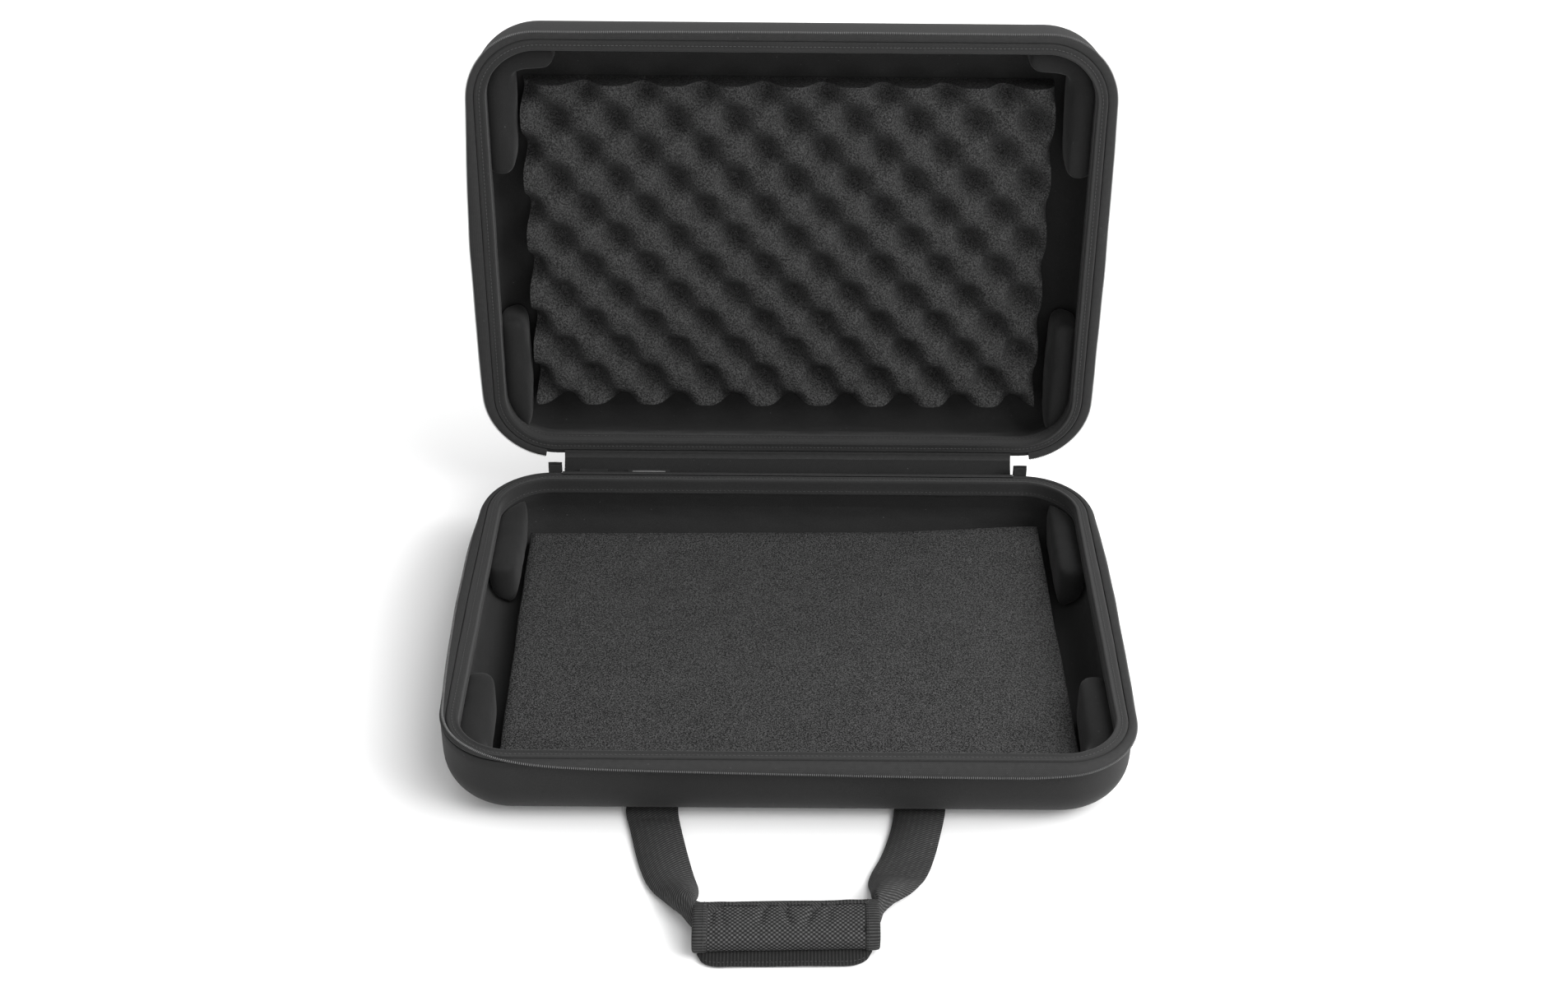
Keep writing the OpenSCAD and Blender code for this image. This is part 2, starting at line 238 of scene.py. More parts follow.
def newTree(name, inputs):
    tree = bpy.data.node_groups.new(name, "GeometryNodeTree")
    tree.interface.new_socket("Geometry", in_out="OUTPUT", socket_type="NodeSocketGeometry")
    tree.interface.new_socket("Geometry", in_out="INPUT", socket_type="NodeSocketGeometry")
    for label, kind, value in inputs:
        socket = tree.interface.new_socket(label, in_out="INPUT", socket_type="NodeSocket" + kind)
        if value is not None:
            socket.default_value = value
    return tree, tree.nodes.new("NodeGroupInput"), tree.nodes.new("NodeGroupOutput")


def addNode(tree, kind, inputs=None, **settings):
    made = tree.nodes.new(kind)
    for key, value in settings.items():
        setattr(made, key, value)
    for key, value in (inputs or {}).items():
        if isinstance(value, bpy.types.NodeSocket):
            tree.links.new(value, made.inputs[key])
        else:
            made.inputs[key].default_value = value
    return made


def runTree(name, host, tree, values):
    # sets the tree's inputs, turns the result into a plain mesh and drops the host
    grow = host.modifiers.new("grow", "NODES")
    grow.node_group = tree
    for item in tree.interface.items_tree:
        if item.in_out == "INPUT" and item.name in values:
            grow[item.identifier] = values[item.name]
    host.update_tag()
    bpy.context.view_layer.update()
    ready = host.evaluated_get(bpy.context.evaluated_depsgraph_get())
    mesh = bpy.data.meshes.new_from_object(ready)
    host.modifiers.remove(grow)
    bpy.data.objects.remove(host)
    mesh.name = name
    obj = bpy.data.objects.new(name, mesh)
    scene.collection.objects.link(obj)
    return obj


def buildRowTree():
    # sets a small piece at even steps along a line, its X along the line and its Z upwards
    tree, given, out = newTree("rowAlongLine", [
        ("Piece", "Object", None), ("Spacing", "Float", 0.003), ("Upwards", "Vector", (0, 0, 1)),
        ("Least Size", "Float", 0.92), ("Seed", "Int", 4), ("Finish", "Material", None)])
    line = addNode(tree, "GeometryNodeMeshToCurve", {"Mesh": given.outputs["Geometry"]})
    spots = addNode(tree, "GeometryNodeCurveToPoints", {
        "Curve": line.outputs["Curve"], "Length": given.outputs["Spacing"]}, mode="LENGTH")
    piece = addNode(tree, "GeometryNodeObjectInfo", {
        "Object": given.outputs["Piece"], "As Instance": True})
    forward = addNode(tree, "FunctionNodeAlignRotationToVector", {
        "Vector": spots.outputs["Tangent"]}, axis="X")
    upright = addNode(tree, "FunctionNodeAlignRotationToVector", {
        "Rotation": forward.outputs["Rotation"], "Vector": given.outputs["Upwards"]},
        axis="Z", pivot_axis="X")
    size = addNode(tree, "FunctionNodeRandomValue", {
        "Seed": given.outputs["Seed"]}, data_type="FLOAT")
    tree.links.new(given.outputs["Least Size"], size.inputs[2])
    size.inputs[3].default_value = 1.0
    placed = addNode(tree, "GeometryNodeInstanceOnPoints", {
        "Points": spots.outputs["Points"], "Instance": piece.outputs["Geometry"],
        "Rotation": upright.outputs["Rotation"], "Scale": size.outputs[1]})
    solid = addNode(tree, "GeometryNodeRealizeInstances", {"Geometry": placed.outputs["Instances"]})
    painted = addNode(tree, "GeometryNodeSetMaterial", {
        "Geometry": solid.outputs["Geometry"], "Material": given.outputs["Finish"]})
    tree.links.new(painted.outputs["Geometry"], out.inputs["Geometry"])
    return tree


rowTree = buildRowTree()


def bead(name, length, width, height, sides=6, rings=4):  # a small rounded piece for a row
    work = bmesh.new()
    bmesh.ops.create_uvsphere(work, u_segments=sides, v_segments=rings, radius=0.5)
    bmesh.ops.rotate(work, verts=work.verts, matrix=Matrix.Rotation(math.pi / 2, 3, "Y"))
    bmesh.ops.scale(work, verts=work.verts, vec=(length * mm, width * mm, height * mm))
    mesh = bpy.data.meshes.new(name)
    work.to_mesh(mesh)
    work.free()
    mesh.shade_smooth()
    obj = bpy.data.objects.new(name, mesh)
    scene.collection.objects.link(obj)
    return obj


def rowOf(name, piece, points, spacing, finish, half="base", upwards=(0, 0, 1), least=0.92,
          closed=False):
    points = np.array(points, float) * mm
    count = len(points)
    edges = [(i, i + 1) for i in range(count - 1)] + ([(count - 1, 0)] if closed else [])
    mesh = bpy.data.meshes.new(name + "Line")
    mesh.from_pydata(points.tolist(), edges, [])
    if half == "lid":
        mesh.transform(lidMatrix)
        upwards = lidUp
    host = bpy.data.objects.new(name + "Line", mesh)
    scene.collection.objects.link(host)
    return runTree(name, host, rowTree, {
        "Piece": piece, "Spacing": spacing * mm, "Upwards": tuple(upwards),
        "Least Size": least, "Finish": finish})


# materials

def newGroup(name, inputs, outputs):
    tree = bpy.data.node_groups.new(name, "ShaderNodeTree")
    for label, kind, value in inputs:
        socket = tree.interface.new_socket(label, in_out="INPUT", socket_type="NodeSocket" + kind)
        if value is not None:
            socket.default_value = value
    for label, kind in outputs:
        tree.interface.new_socket(label, in_out="OUTPUT", socket_type="NodeSocket" + kind)
    return tree, tree.nodes.new("NodeGroupInput"), tree.nodes.new("NodeGroupOutput")


def calc(tree, operation, a, b=None, c=None):
    values = {0: a}
    if b is not None:
        values[1] = b
    if c is not None:
        values[2] = c
    return addNode(tree, "ShaderNodeMath", values, operation=operation).outputs[0]


def blendColours(tree, share, a, b):
    made = addNode(tree, "ShaderNodeMix", {}, data_type="RGBA")
    for index, value in ((0, share), (6, a), (7, b)):
        if isinstance(value, bpy.types.NodeSocket):
            tree.links.new(value, made.inputs[index])
        else:
            made.inputs[index].default_value = value
    return made.outputs[2]


def buildNap():
    # short brushed fibres with broad lighter and darker patches
    tree, given, out = newGroup("clothNap", [
        ("Vector", "Vector", None), ("Fibre Scale", "Float", 900.0), ("Patch Scale", "Float", 18.0),
        ("Colour", "Color", (0.03, 0.03, 0.03, 1)), ("Light Colour", "Color", (0.06, 0.06, 0.06, 1))],
        [("Colour", "Color"), ("Height", "Float")])
    fibre = addNode(tree, "ShaderNodeTexNoise", {
        "Vector": given.outputs["Vector"], "Scale": given.outputs["Fibre Scale"], "Detail": 4.0,
        "Roughness": 0.65})
    patch = addNode(tree, "ShaderNodeTexNoise", {
        "Vector": given.outputs["Vector"], "Scale": given.outputs["Patch Scale"], "Detail": 3.0})
    share = calc(tree, "MULTIPLY_ADD", fibre.outputs["Fac"], 1.5, -0.35)
    share = calc(tree, "MULTIPLY", share, calc(tree, "MULTIPLY_ADD", patch.outputs["Fac"], 1.3, 0.25))
    tree.links.new(blendColours(tree, share, given.outputs["Colour"], given.outputs["Light Colour"]),
                   out.inputs["Colour"])
    tree.links.new(fibre.outputs["Fac"], out.inputs["Height"])
    return tree


def buildWeave():
    # yarns crossing over and under, on a plan in metres
    tree, given, out = newGroup("yarnWeave", [
        ("Vector", "Vector", None), ("Warp Pitch", "Float", 0.001), ("Weft Pitch", "Float", 0.001),
        ("Slant", "Float", 0.0), ("Crossing", "Float", 1.0),
        ("Colour", "Color", (0.03, 0.03, 0.03, 1)), ("Light Colour", "Color", (0.06, 0.06, 0.06, 1))],
        [("Colour", "Color"), ("Height", "Float")])
    parts = addNode(tree, "ShaderNodeSeparateXYZ", {"Vector": given.outputs["Vector"]})
    across = calc(tree, "ADD", parts.outputs["X"],
                  calc(tree, "MULTIPLY", parts.outputs["Y"], given.outputs["Slant"]))
    warpTurns = calc(tree, "DIVIDE", across, given.outputs["Warp Pitch"])
    warp = calc(tree, "SINE", calc(tree, "MULTIPLY", warpTurns, 2 * math.pi))
    weftTurns = calc(tree, "DIVIDE", parts.outputs["Y"], given.outputs["Weft Pitch"])
    weft = calc(tree, "SINE", calc(tree, "MULTIPLY", weftTurns, 2 * math.pi))
    crossed = calc(tree, "MULTIPLY", warp, weft)
    mixed = calc(tree, "ADD", calc(tree, "MULTIPLY", crossed, given.outputs["Crossing"]),
                 calc(tree, "MULTIPLY", warp, calc(tree, "SUBTRACT", 1.0, given.outputs["Crossing"])))
    height = calc(tree, "MULTIPLY_ADD", mixed, 0.5, 0.5)
    stray = addNode(tree, "ShaderNodeTexNoise", {
        "Vector": given.outputs["Vector"], "Scale": 260.0, "Detail": 3.0})
    share = calc(tree, "MULTIPLY", calc(tree, "POWER", height, 2.0),
                 calc(tree, "MULTIPLY_ADD", stray.outputs["Fac"], 1.2, 0.35))
    tree.links.new(blendColours(tree, share, given.outputs["Colour"], given.outputs["Light Colour"]),
                   out.inputs["Colour"])
    tree.links.new(height, out.inputs["Height"])
    return tree


def buildCells():
    # open foam cells: dark pores, lighter struts and a few bright specks
    tree, given, out = newGroup("foamCells", [
        ("Vector", "Vector", None), ("Cell Scale", "Float", 700.0), ("Speck Share", "Float", 0.5),
        ("Colour", "Color", (0.03, 0.03, 0.03, 1)), ("Light Colour", "Color", (0.06, 0.06, 0.06, 1))],
        [("Colour", "Color"), ("Height", "Float")])
    # a slanting cut through the noise, because a level one shows swirls on a flat sheet
    slanted = addNode(tree, "ShaderNodeVectorRotate", {
        "Vector": given.outputs["Vector"], "Axis": (0.5, 0.7, 0.2), "Angle": 0.7}).outputs["Vector"]
    cells = addNode(tree, "ShaderNodeTexVoronoi", {"Vector": slanted, "Scale": given.outputs["Cell Scale"]})
    grain = addNode(tree, "ShaderNodeTexNoise", {
        "Vector": slanted, "Scale": given.outputs["Cell Scale"], "Detail": 2.0, "Roughness": 0.8})
    patch = addNode(tree, "ShaderNodeTexNoise", {"Vector": slanted, "Scale": 45.0, "Detail": 4.0})
    share = calc(tree, "ADD", calc(tree, "MULTIPLY", cells.outputs["Distance"], 0.6),
                 calc(tree, "MULTIPLY_ADD", grain.outputs["Fac"], 4.6, -2.15))
    share = calc(tree, "ADD", share, calc(tree, "MULTIPLY_ADD", patch.outputs["Fac"], 0.3, -0.15))
    base = blendColours(tree, share, given.outputs["Colour"], given.outputs["Light Colour"])
    speck = addNode(tree, "ShaderNodeTexNoise", {"Vector": slanted, "Scale": 620.0, "Detail": 1.0})
    bright = calc(tree, "MULTIPLY", calc(tree, "GREATER_THAN", speck.outputs["Fac"], 0.79),
                  given.outputs["Speck Share"])
    tree.links.new(blendColours(tree, bright, base, (0.2, 0.2, 0.2, 1)), out.inputs["Colour"])
    tree.links.new(calc(tree, "ADD", cells.outputs["Distance"], grain.outputs["Fac"]), out.inputs["Height"])
    return tree


def buildDust():
    # lint and dust that settles in soft patches
    tree, given, out = newGroup("settledDust", [
        ("Vector", "Vector", None), ("Colour", "Color", (0.03, 0.03, 0.03, 1)), ("Amount", "Float", 0.1)],
        [("Colour", "Color"), ("Roughness", "Float")])
    patch = addNode(tree, "ShaderNodeTexNoise", {
        "Vector": given.outputs["Vector"], "Scale": 26.0, "Detail": 5.0, "Roughness": 0.6})
    lint = addNode(tree, "ShaderNodeTexNoise", {
        "Vector": given.outputs["Vector"], "Scale": 560.0, "Detail": 0.0})
    spots = calc(tree, "GREATER_THAN", lint.outputs["Fac"], 0.88)
    settled = calc(tree, "MULTIPLY", calc(tree, "SUBTRACT", patch.outputs["Fac"], 0.3),
                   given.outputs["Amount"])
    share = calc(tree, "ADD", calc(tree, "MULTIPLY", spots, 0.3), settled)
    share = calc(tree, "MAXIMUM", share, 0.0)
    tree.links.new(blendColours(tree, share, given.outputs["Colour"], (0.16, 0.16, 0.165, 1)),
                   out.inputs["Colour"])
    tree.links.new(calc(tree, "MULTIPLY_ADD", patch.outputs["Fac"], 0.16, 0.74), out.inputs["Roughness"])
    return tree


nap, weave, cells, dust = buildNap(), buildWeave(), buildCells(), buildDust()


def grey(value):
    return (value, value, value, 1)


def newMaterial(name, group, values, dark, light, onRun=False, dusty=0.1, bumpDepth=0.0004,
                bumpStrength=0.6, sheen=0.0, plain=None):
    mat = bpy.data.materials.new(name)
    mat.use_nodes = True
    tree = mat.node_tree
    shader = tree.nodes["Principled BSDF"]
    place = addNode(tree, "ShaderNodeTexCoord")
    if onRun:
        run = addNode(tree, "ShaderNodeUVMap", {}, uv_map="run")
        vector = run.outputs["UV"]
    else:
        vector = place.outputs["Object"]
    pattern = addNode(tree, "ShaderNodeGroup", {}, node_tree=group)
    tree.links.new(vector, pattern.inputs["Vector"])
    pattern.inputs["Colour"].default_value = dark
    pattern.inputs["Light Colour"].default_value = light
    for key, value in values.items():
        pattern.inputs[key].default_value = value
    over = addNode(tree, "ShaderNodeGroup", {}, node_tree=dust)
    tree.links.new(place.outputs["Object"], over.inputs["Vector"])
    tree.links.new(pattern.outputs["Colour"], over.inputs["Colour"])
    over.inputs["Amount"].default_value = dusty
    tree.links.new(over.outputs["Colour"], shader.inputs["Base Color"])
    tree.links.new(over.outputs["Roughness"], shader.inputs["Roughness"])
    relief = addNode(tree, "ShaderNodeBump", {
        "Strength": bumpStrength, "Distance": bumpDepth, "Height": pattern.outputs["Height"]})
    tree.links.new(relief.outputs["Normal"], shader.inputs["Normal"])
    shader.inputs["Specular IOR Level"].default_value = 0.25
    if sheen:
        shader.inputs["Sheen Weight"].default_value = sheen
        shader.inputs["Sheen Roughness"].default_value = 0.5
    for key, value in (plain or {}).items():
        shader.inputs[key].default_value = value
    return mat


shellFabric = newMaterial("shellFabric", nap, {"Fibre Scale": 1500.0, "Patch Scale": 9.0},
                          grey(0.0065), grey(0.018), dusty=0.015, bumpDepth=0.00025, sheen=0.06)
liningFabric = newMaterial("liningFabric", nap, {"Fibre Scale": 1100.0, "Patch Scale": 22.0},
                           grey(0.005), grey(0.017), dusty=0.01, bumpDepth=0.0004, sheen=0.08)
# the lining cloth made darker for the corner pads: painted shade to offset the light they catch
padFabric = newMaterial("padFabric", nap, {"Fibre Scale": 1100.0, "Patch Scale": 16.0},
                        grey(0.004), grey(0.013), dusty=0.01, bumpDepth=0.0004, sheen=0.08)
rimBinding = newMaterial("rimBinding", nap, {"Fibre Scale": 1300.0, "Patch Scale": 12.0},
                         grey(0.009), grey(0.029), dusty=0.01, bumpDepth=0.0003, sheen=0.12)
flatFoam = newMaterial("flatFoam", cells, {"Cell Scale": 850.0, "Speck Share": 0.6},
                       grey(0.003), grey(0.068), dusty=0.01, bumpDepth=0.0009, bumpStrength=0.8)
waveFoamCells = newMaterial("waveFoamCells", cells, {"Cell Scale": 700.0, "Speck Share": 0.35},
                            grey(0.007), grey(0.048), dusty=0.01, bumpDepth=0.0008, bumpStrength=0.8)
zipTapeWeave = newMaterial("zipTapeWeave", weave, {
    "Warp Pitch": 0.0009, "Weft Pitch": 0.0011, "Slant": 0.5, "Crossing": 0.45},
    grey(0.013), grey(0.046), onRun=True, dusty=0.03, bumpDepth=0.0002)
hingeCloth = newMaterial("hingeCloth", weave, {
    "Warp Pitch": 0.0012, "Weft Pitch": 0.0012, "Slant": 0.3, "Crossing": 0.5},
    grey(0.006), grey(0.018), onRun=True, dusty=0.02, bumpDepth=0.0002)
# the coil is black: its light grey colour is painted highlight along the teeth, and the coat adds real shine
zipCoilPaintedGlint = newMaterial("zipCoilPaintedGlint", nap, {"Fibre Scale": 400.0, "Patch Scale": 60.0},
                      grey(0.07), grey(0.16), dusty=0.02, bumpDepth=0.00005,
                      plain={"Specular IOR Level": 0.5, "Coat Weight": 0.15, "Coat Roughness": 0.35})
seamThread = newMaterial("seamThread", nap, {"Fibre Scale": 2500.0, "Patch Scale": 90.0},
                         grey(0.045), grey(0.095), dusty=0.05, bumpDepth=0.0001)
webbingWeave = newMaterial("webbingWeave", weave, {
    "Warp Pitch": 0.0023, "Weft Pitch": 0.0040, "Slant": 0.8, "Crossing": 0.3},
    grey(0.010), grey(0.074), onRun=True, dusty=0.02, bumpDepth=0.0004)
gripWeave = newMaterial("gripWeave", weave, {
    "Warp Pitch": 0.0036, "Weft Pitch": 0.0033, "Slant": 0.0, "Crossing": 1.0},
    grey(0.004), grey(0.100), onRun=True, dusty=0.01, bumpDepth=0.0005, bumpStrength=0.9)
flapRibbon = newMaterial("flapRibbon", weave, {
    "Warp Pitch": 0.0024, "Weft Pitch": 0.0012, "Slant": 0.0, "Crossing": 0.15},
    grey(0.007), grey(0.026), onRun=True, dusty=0.02, bumpDepth=0.0003)
gripRibbon = newMaterial("gripRibbon", weave, {
    "Warp Pitch": 0.0024, "Weft Pitch": 0.0012, "Slant": 0.0, "Crossing": 0.15},
    grey(0.010), grey(0.055), onRun=True, dusty=0.02, bumpDepth=0.0003)
labelWeave = newMaterial("labelWeave", weave, {
    "Warp Pitch": 0.0006, "Weft Pitch": 0.0006, "Slant": 0.0, "Crossing": 0.7},
    grey(0.016), grey(0.032), onRun=True, dusty=0.02, bumpDepth=0.0001)
labelStripe = newMaterial("labelStripe", weave, {
    "Warp Pitch": 0.0006, "Weft Pitch": 0.0006, "Slant": 0.0, "Crossing": 0.7},
    grey(0.18), grey(0.36), onRun=True, dusty=0.02, bumpDepth=0.0001)
blackMetal = newMaterial("blackMetal", nap, {"Fibre Scale": 300.0, "Patch Scale": 40.0},
                         grey(0.025), grey(0.05), dusty=0.05, bumpDepth=0.00005,
                         plain={"Metallic": 0.6, "Specular IOR Level": 0.5, "Coat Weight": 0.3,
                                "Coat Roughness": 0.3})
print("materials ready")


def paint(obj, mat):
    obj.data.materials.clear()
    obj.data.materials.append(mat)
    return obj


def settle(obj, body, slotName, *nodes):
    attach(obj, body)
    if nodes:
        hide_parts(*nodes)
    return obj


# moulded shells, linings and lips

shell = {"outside": 7, "wall": 6, "topDrop": -2.3, "arcSteps": 14}
lining = {
    "inside": -0.5, "thick": 1.3, "floor": 7.5, "crease": 0.7, "arcSteps": 14,
    "wallTop": -31, "seamDrop": -14.4,  # the upright wall ends at the first, the skin at the second
    "turnIn": [(-0.8, -28), (-1.3, -24.5), (-2.4, -20.5), (-3.8, -17), (-5.0, -14.4)],
}
rim = {
    "wobble": 0.25,
    "profile": [(0.9, -14.3), (-4.6, -14.5), (-5.7, -14.2), (-6.1, -13.5), (-5.9, -12.6), (-5.5, -12.0),
                (-5.5, -8), (-5.7, -3.4), (-5.7, -1.8), (-5.3, -0.9), (-4.6, -0.45), (-3.8, -0.6),
                (-3.1, -1.05), (-2.2, -1.3), (0.2, -1.3), (1.3, -1.1), (2.0, -1.05), (2.7, -1.5),
                (3.2, -2.3), (3.5, -3.4), (3.5, -5.2), (0.9, -5.3)],
}


def tubCurve(side, floor, edge, height, top, steps):
    # from the flat bottom round the moulded edge and up the wall, as (offset, drop) pairs
    pairs = []
    for k in range(steps + 1):
        a = math.pi / 2 * k / steps
        pairs.append((side - edge + edge * math.sin(a), floor + edge - edge * math.cos(a) - height))
    for k in range(1, 5):
        start = floor + edge - height
        pairs.append((side, start + (top - start) * k / 4))
    return pairs


def makeShell(half):
    h, edge = case["height"][half], case["edgeRadius"][half]
    top = shell["topDrop"]
    outer = tubCurve(shell["outside"], 0, edge, h, top - 0.8, shell["arcSteps"])
    inner = tubCurve(shell["outside"] - shell["wall"], shell["wall"], edge - shell["wall"], h, top - 0.8,
                     shell["arcSteps"])
    lipEdge = [(6.7, top - 0.25), (6.1, top), (3.4, top - 0.5), (1.3, top - 1.4)]
    profile = outer + lipEdge + inner[::-1]
    obj = ringPiece(half + "_moulded_shell", half, lambda station: profile, sharp=60)
    return settle(paint(obj, shellFabric), half, "shell_fabric", half + "_shell")


def makeLining(half):
    h, edge = case["height"][half], case["edgeRadius"][half]
    side, floor = lining["inside"], lining["floor"]
    thick, steps = lining["thick"], lining["arcSteps"]
    skin = tubCurve(side, floor, edge - floor, h, lining["wallTop"], steps) + lining["turnIn"]
    under = floor - thick
    back = tubCurve(side + thick, under, edge - under, h, lining["seamDrop"], steps)
    count = len(skin)

    def profileAt(station):
        x, y, nx, ny, s = station
        pairs = []
        for k, (offset, drop) in enumerate(skin):
            fade = smooth(k, 3, 8) * (1 - smooth(k, count - 3, count - 1))
            ripple = bumpy(s * 0.35, drop * 1.6, 4.0, 9.0) + 0.6 * bumpy(s, drop * 3, 8.0, 9.0)
            pairs.append((offset - lining["crease"] * float(fade) * ripple, drop))
        return pairs + back[::-1]

    obj = ringPiece(half + "_brushed_lining", half, profileAt, sharp=60)
    return settle(paint(obj, liningFabric), half, "lining_fabric", half + "_lining")


def makeRim(half):
    def profileAt(station):
        wobble = rim["wobble"] * bumpy(station[0], station[1], 0.0, 30.0)
        return [(offset + wobble, drop) for offset, drop in rim["profile"]]

    obj = ringPiece(half + "_raised_lip", half, profileAt, looped=True, sharp=70)
    return settle(paint(obj, rimBinding), half, "rim_binding", half + "_rim")


for half in ("base", "lid"):
    makeShell(half)
    makeLining(half)
    makeRim(half)
print("shells, linings and lips ready")


# stitches

stitch = bead("stitchPiece", 2.5, 0.62, 0.5)
stitchSmall = bead("stitchPieceSmall", 2.0, 0.5, 0.4)
seams = {
    "lip": {"piece": stitch, "offset": -0.9, "drop": -1.12, "spacing": 3.3},
    "lining": {"piece": stitchSmall, "offset": -5.55, "drop": -11.2, "spacing": 3.6},
}


def stitchRow(half, place):
    seam = seams[place]
    points = [onHalf(half, station, seam["offset"], seam["drop"]) for station in lipPart(0, lipLength, 4)]
    obj = rowOf(f"{half}_{place}_stitches", seam["piece"], points, seam["spacing"], seamThread, half)
    return settle(obj, half, "rim_binding")


for half in ("base", "lid"):
    for place in seams:
        stitchRow(half, place)
print("stitches ready")


# zip tapes and teeth

zipper = {
    "thick": 0.9, "tooth": 1.5,
    "ends": {"base": (194, 1445.6), "lid": (208.5, 1431.1)},
    # distance along the lip, then the teeth's offset and drop about the parting plane
    "base": [(180, 8.8, -6.4), (280, 8.8, -6.4), (330, 10.2, -2.6), (420, 9.4, -1.6), (500, 8.0, -0.6),
             (548, 5.4, 0.9), (570, 4.5, 1.6), (600, 4.5, 1.4), (630, 10, -1.8), (660, 11, -4.2),
             (704, 11.2, -5.8), (790, 12.0, -7.2), (920, 13.4, -8.4), (1000, 13.6, -8.6),
             (1050, 10.8, -5.8), (1100, 8.8, -3.0), (1200, 8.4, -2.4), (1310, 9.0, -2.6),
             (1360, 8.8, -6.4), (1460, 8.8, -6.4)],
    "lid": [(180, 10.4, -2.4), (235, 11.0, -2.8), (290, 13.4, -4.0), (420, 14.2, -4.4), (490, 12.2, -3.6),
            (540, 9.4, -2.2), (640, 9.6, -1.6), (800, 10.8, -1.2), (1000, 10.2, -1.8), (1090, 10.6, -2.4),
            (1230, 11.6, -3.2), (1360, 11.2, -2.8), (1460, 10.4, -2.4)],
}


def tapeTop(half, s):
    offset, drop = table(zipper[half], s)
    wander = 0.3 * bumpy(s, 0, 3.0 if half == "base" else 9.0, 36.0)
    return offset + wander, drop + 0.5 * wander


def makeTape(half):
    # from the seam beside the lip, over the shell's edge and out to the teeth
    start, end = zipper["ends"][half]
    t = np.linspace(0, 1, 12)
    grid = []
    for station in lipPart(start, end, 3.0):
        offset, drop = tapeTop(half, station[4])
        pulls = [(3.7, -2.0), (6.8, -1.2), (max(0.5 * offset + 4.1, 8.6), 0.45 * drop - 0.1), (offset, drop)]
        shares = [(1 - t) ** 3, 3 * t * (1 - t) ** 2, 3 * t ** 2 * (1 - t), t ** 3]
        path = sum(np.outer(share, pull) for share, pull in zip(shares, pulls))
        grid.append([onHalf(half, station, *pair) for pair in path])
    obj = paint(thickSheet(half + "_zip_band", grid, zipper["thick"], half, edge=0.5), zipTapeWeave)
    obj.data.materials.append(shellFabric)
    upwards = lidUp if half == "lid" else Vector((0, 0, 1))
    for face in obj.data.polygons:  # faces turned away from the top get the darker shell cloth: painted shade on the tape's outer and under sides
        if face.normal.dot(upwards) < 0.25:
            face.material_index = 1
    settle(obj, half, "zip_tape", half + "_zip_tape")
    return obj


def makeTeeth(half, piece):
    start, end = zipper["ends"][half]
    points = []
    for station in lipPart(start + 1, end - 1, 2.5):
        offset, drop = tapeTop(half, station[4])
        points.append(onHalf(half, station, offset + 0.15, drop + 0.35))
    obj = rowOf(half + "_zip_coil", piece, points, zipper["tooth"], zipCoilPaintedGlint, half, least=0.97)
    settle(obj, half, "zip_coil", half + "_zip_teeth")
    return obj


tooth = bead("toothPiece", 0.85, 2.3, 1.9)
for half in ("base", "lid"):
    band, coil = makeTape(half), makeTeeth(half, tooth)
    if half == "base":  # the base's band and teeth get meshes of their own
        for obj in (band, coil):
            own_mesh(obj)
print("zip ready")


# the fabric hinge and its labels

hinge = {
    "width": 387.5, "thick": 1.2, "edgeBand": 6.5, "sag": 0.55,
    # y and z of the cloth's section, from the base's edge down the fold and up to the lid's
    "section": [(186.1, 60.5), (188.8, 60.7), (192.0, 58.6), (196.2, 55.0), (199.8, 52.7), (202.6, 52.3),
                (205.6, 54.2), (209.2, 57.6), (212.0, 61.2), (213.3, 64.6), (213.2, 67.4)],
}


def makeHinge():
    curve = along(hinge["section"], 30)
    grid = []
    for x in np.linspace(-hinge["width"] / 2, hinge["width"] / 2, 90):
        sag = hinge["sag"] * bumpy(x, 0, 2.0, 42.0)
        row = []
        for k, (y, z) in enumerate(curve):
            middle = math.sin(math.pi * k / (len(curve) - 1))
            row.append((x, y, z + sag * middle))
        grid.append(row)
    obj = paint(thickSheet("hinge_cloth", grid, hinge["thick"]), hingeCloth)
    obj.data.materials.append(zipTapeWeave)
    for face in obj.data.polygons:  # the two edges are the lighter tape
        y, z = face.center.y / mm, face.center.z / mm
        if y < curve[0][0] + hinge["edgeBand"] or z > curve[-1][1] - hinge["edgeBand"]:
            face.material_index = 1
    length = lengths(np.array(curve))[-1]
    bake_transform(obj)
    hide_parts("hinge_strip_base", "hinge_strip_lid")
    return obj


label = {
    "thick": 0.6, "curl": 0.35, "stripe": (191.0, 198.8), "stripeShare": 0.4,
    "section": [(190.0, 60.0), (192.8, 58.6), (196.3, 56.6), (199.3, 55.4), (201.6, 55.6)],
}


def makeLabel(name, node, x, width):
    # a blank woven label, sewn by its long edge beside the base's wall, on the hinge cloth
    curve = along(label["section"], 12)
    grid = []
    for t in np.linspace(-0.5, 0.5, 20):
        lift = label["curl"] * math.cos(4 * t) * (1 if name == "label_maker" else -1)
        grid.append([(x + t * width, y, z + lift * j / 11) for j, (y, z) in enumerate(curve)])
    obj = paint(thickSheet(name, grid, label["thick"]), labelWeave)
    obj.data.materials.append(labelStripe)
    low, high = label["stripe"]
    for face in obj.data.polygons:  # one plain light stripe along the wider label
        aside = abs(face.center.x / mm - x)
        if name == "label_maker" and low < face.center.y / mm < high and aside < width * label["stripeShare"]:
            face.material_index = 1
    settle(obj, "base", "label_weave", node)
    lengths(curve)[-1] * mm
    return obj


makeHinge()
makeLabel("label_maker", "maker_tab", -120, 36)
makeLabel("label_care", "care_tab", -168, 24)
print("hinge ready")


# foams

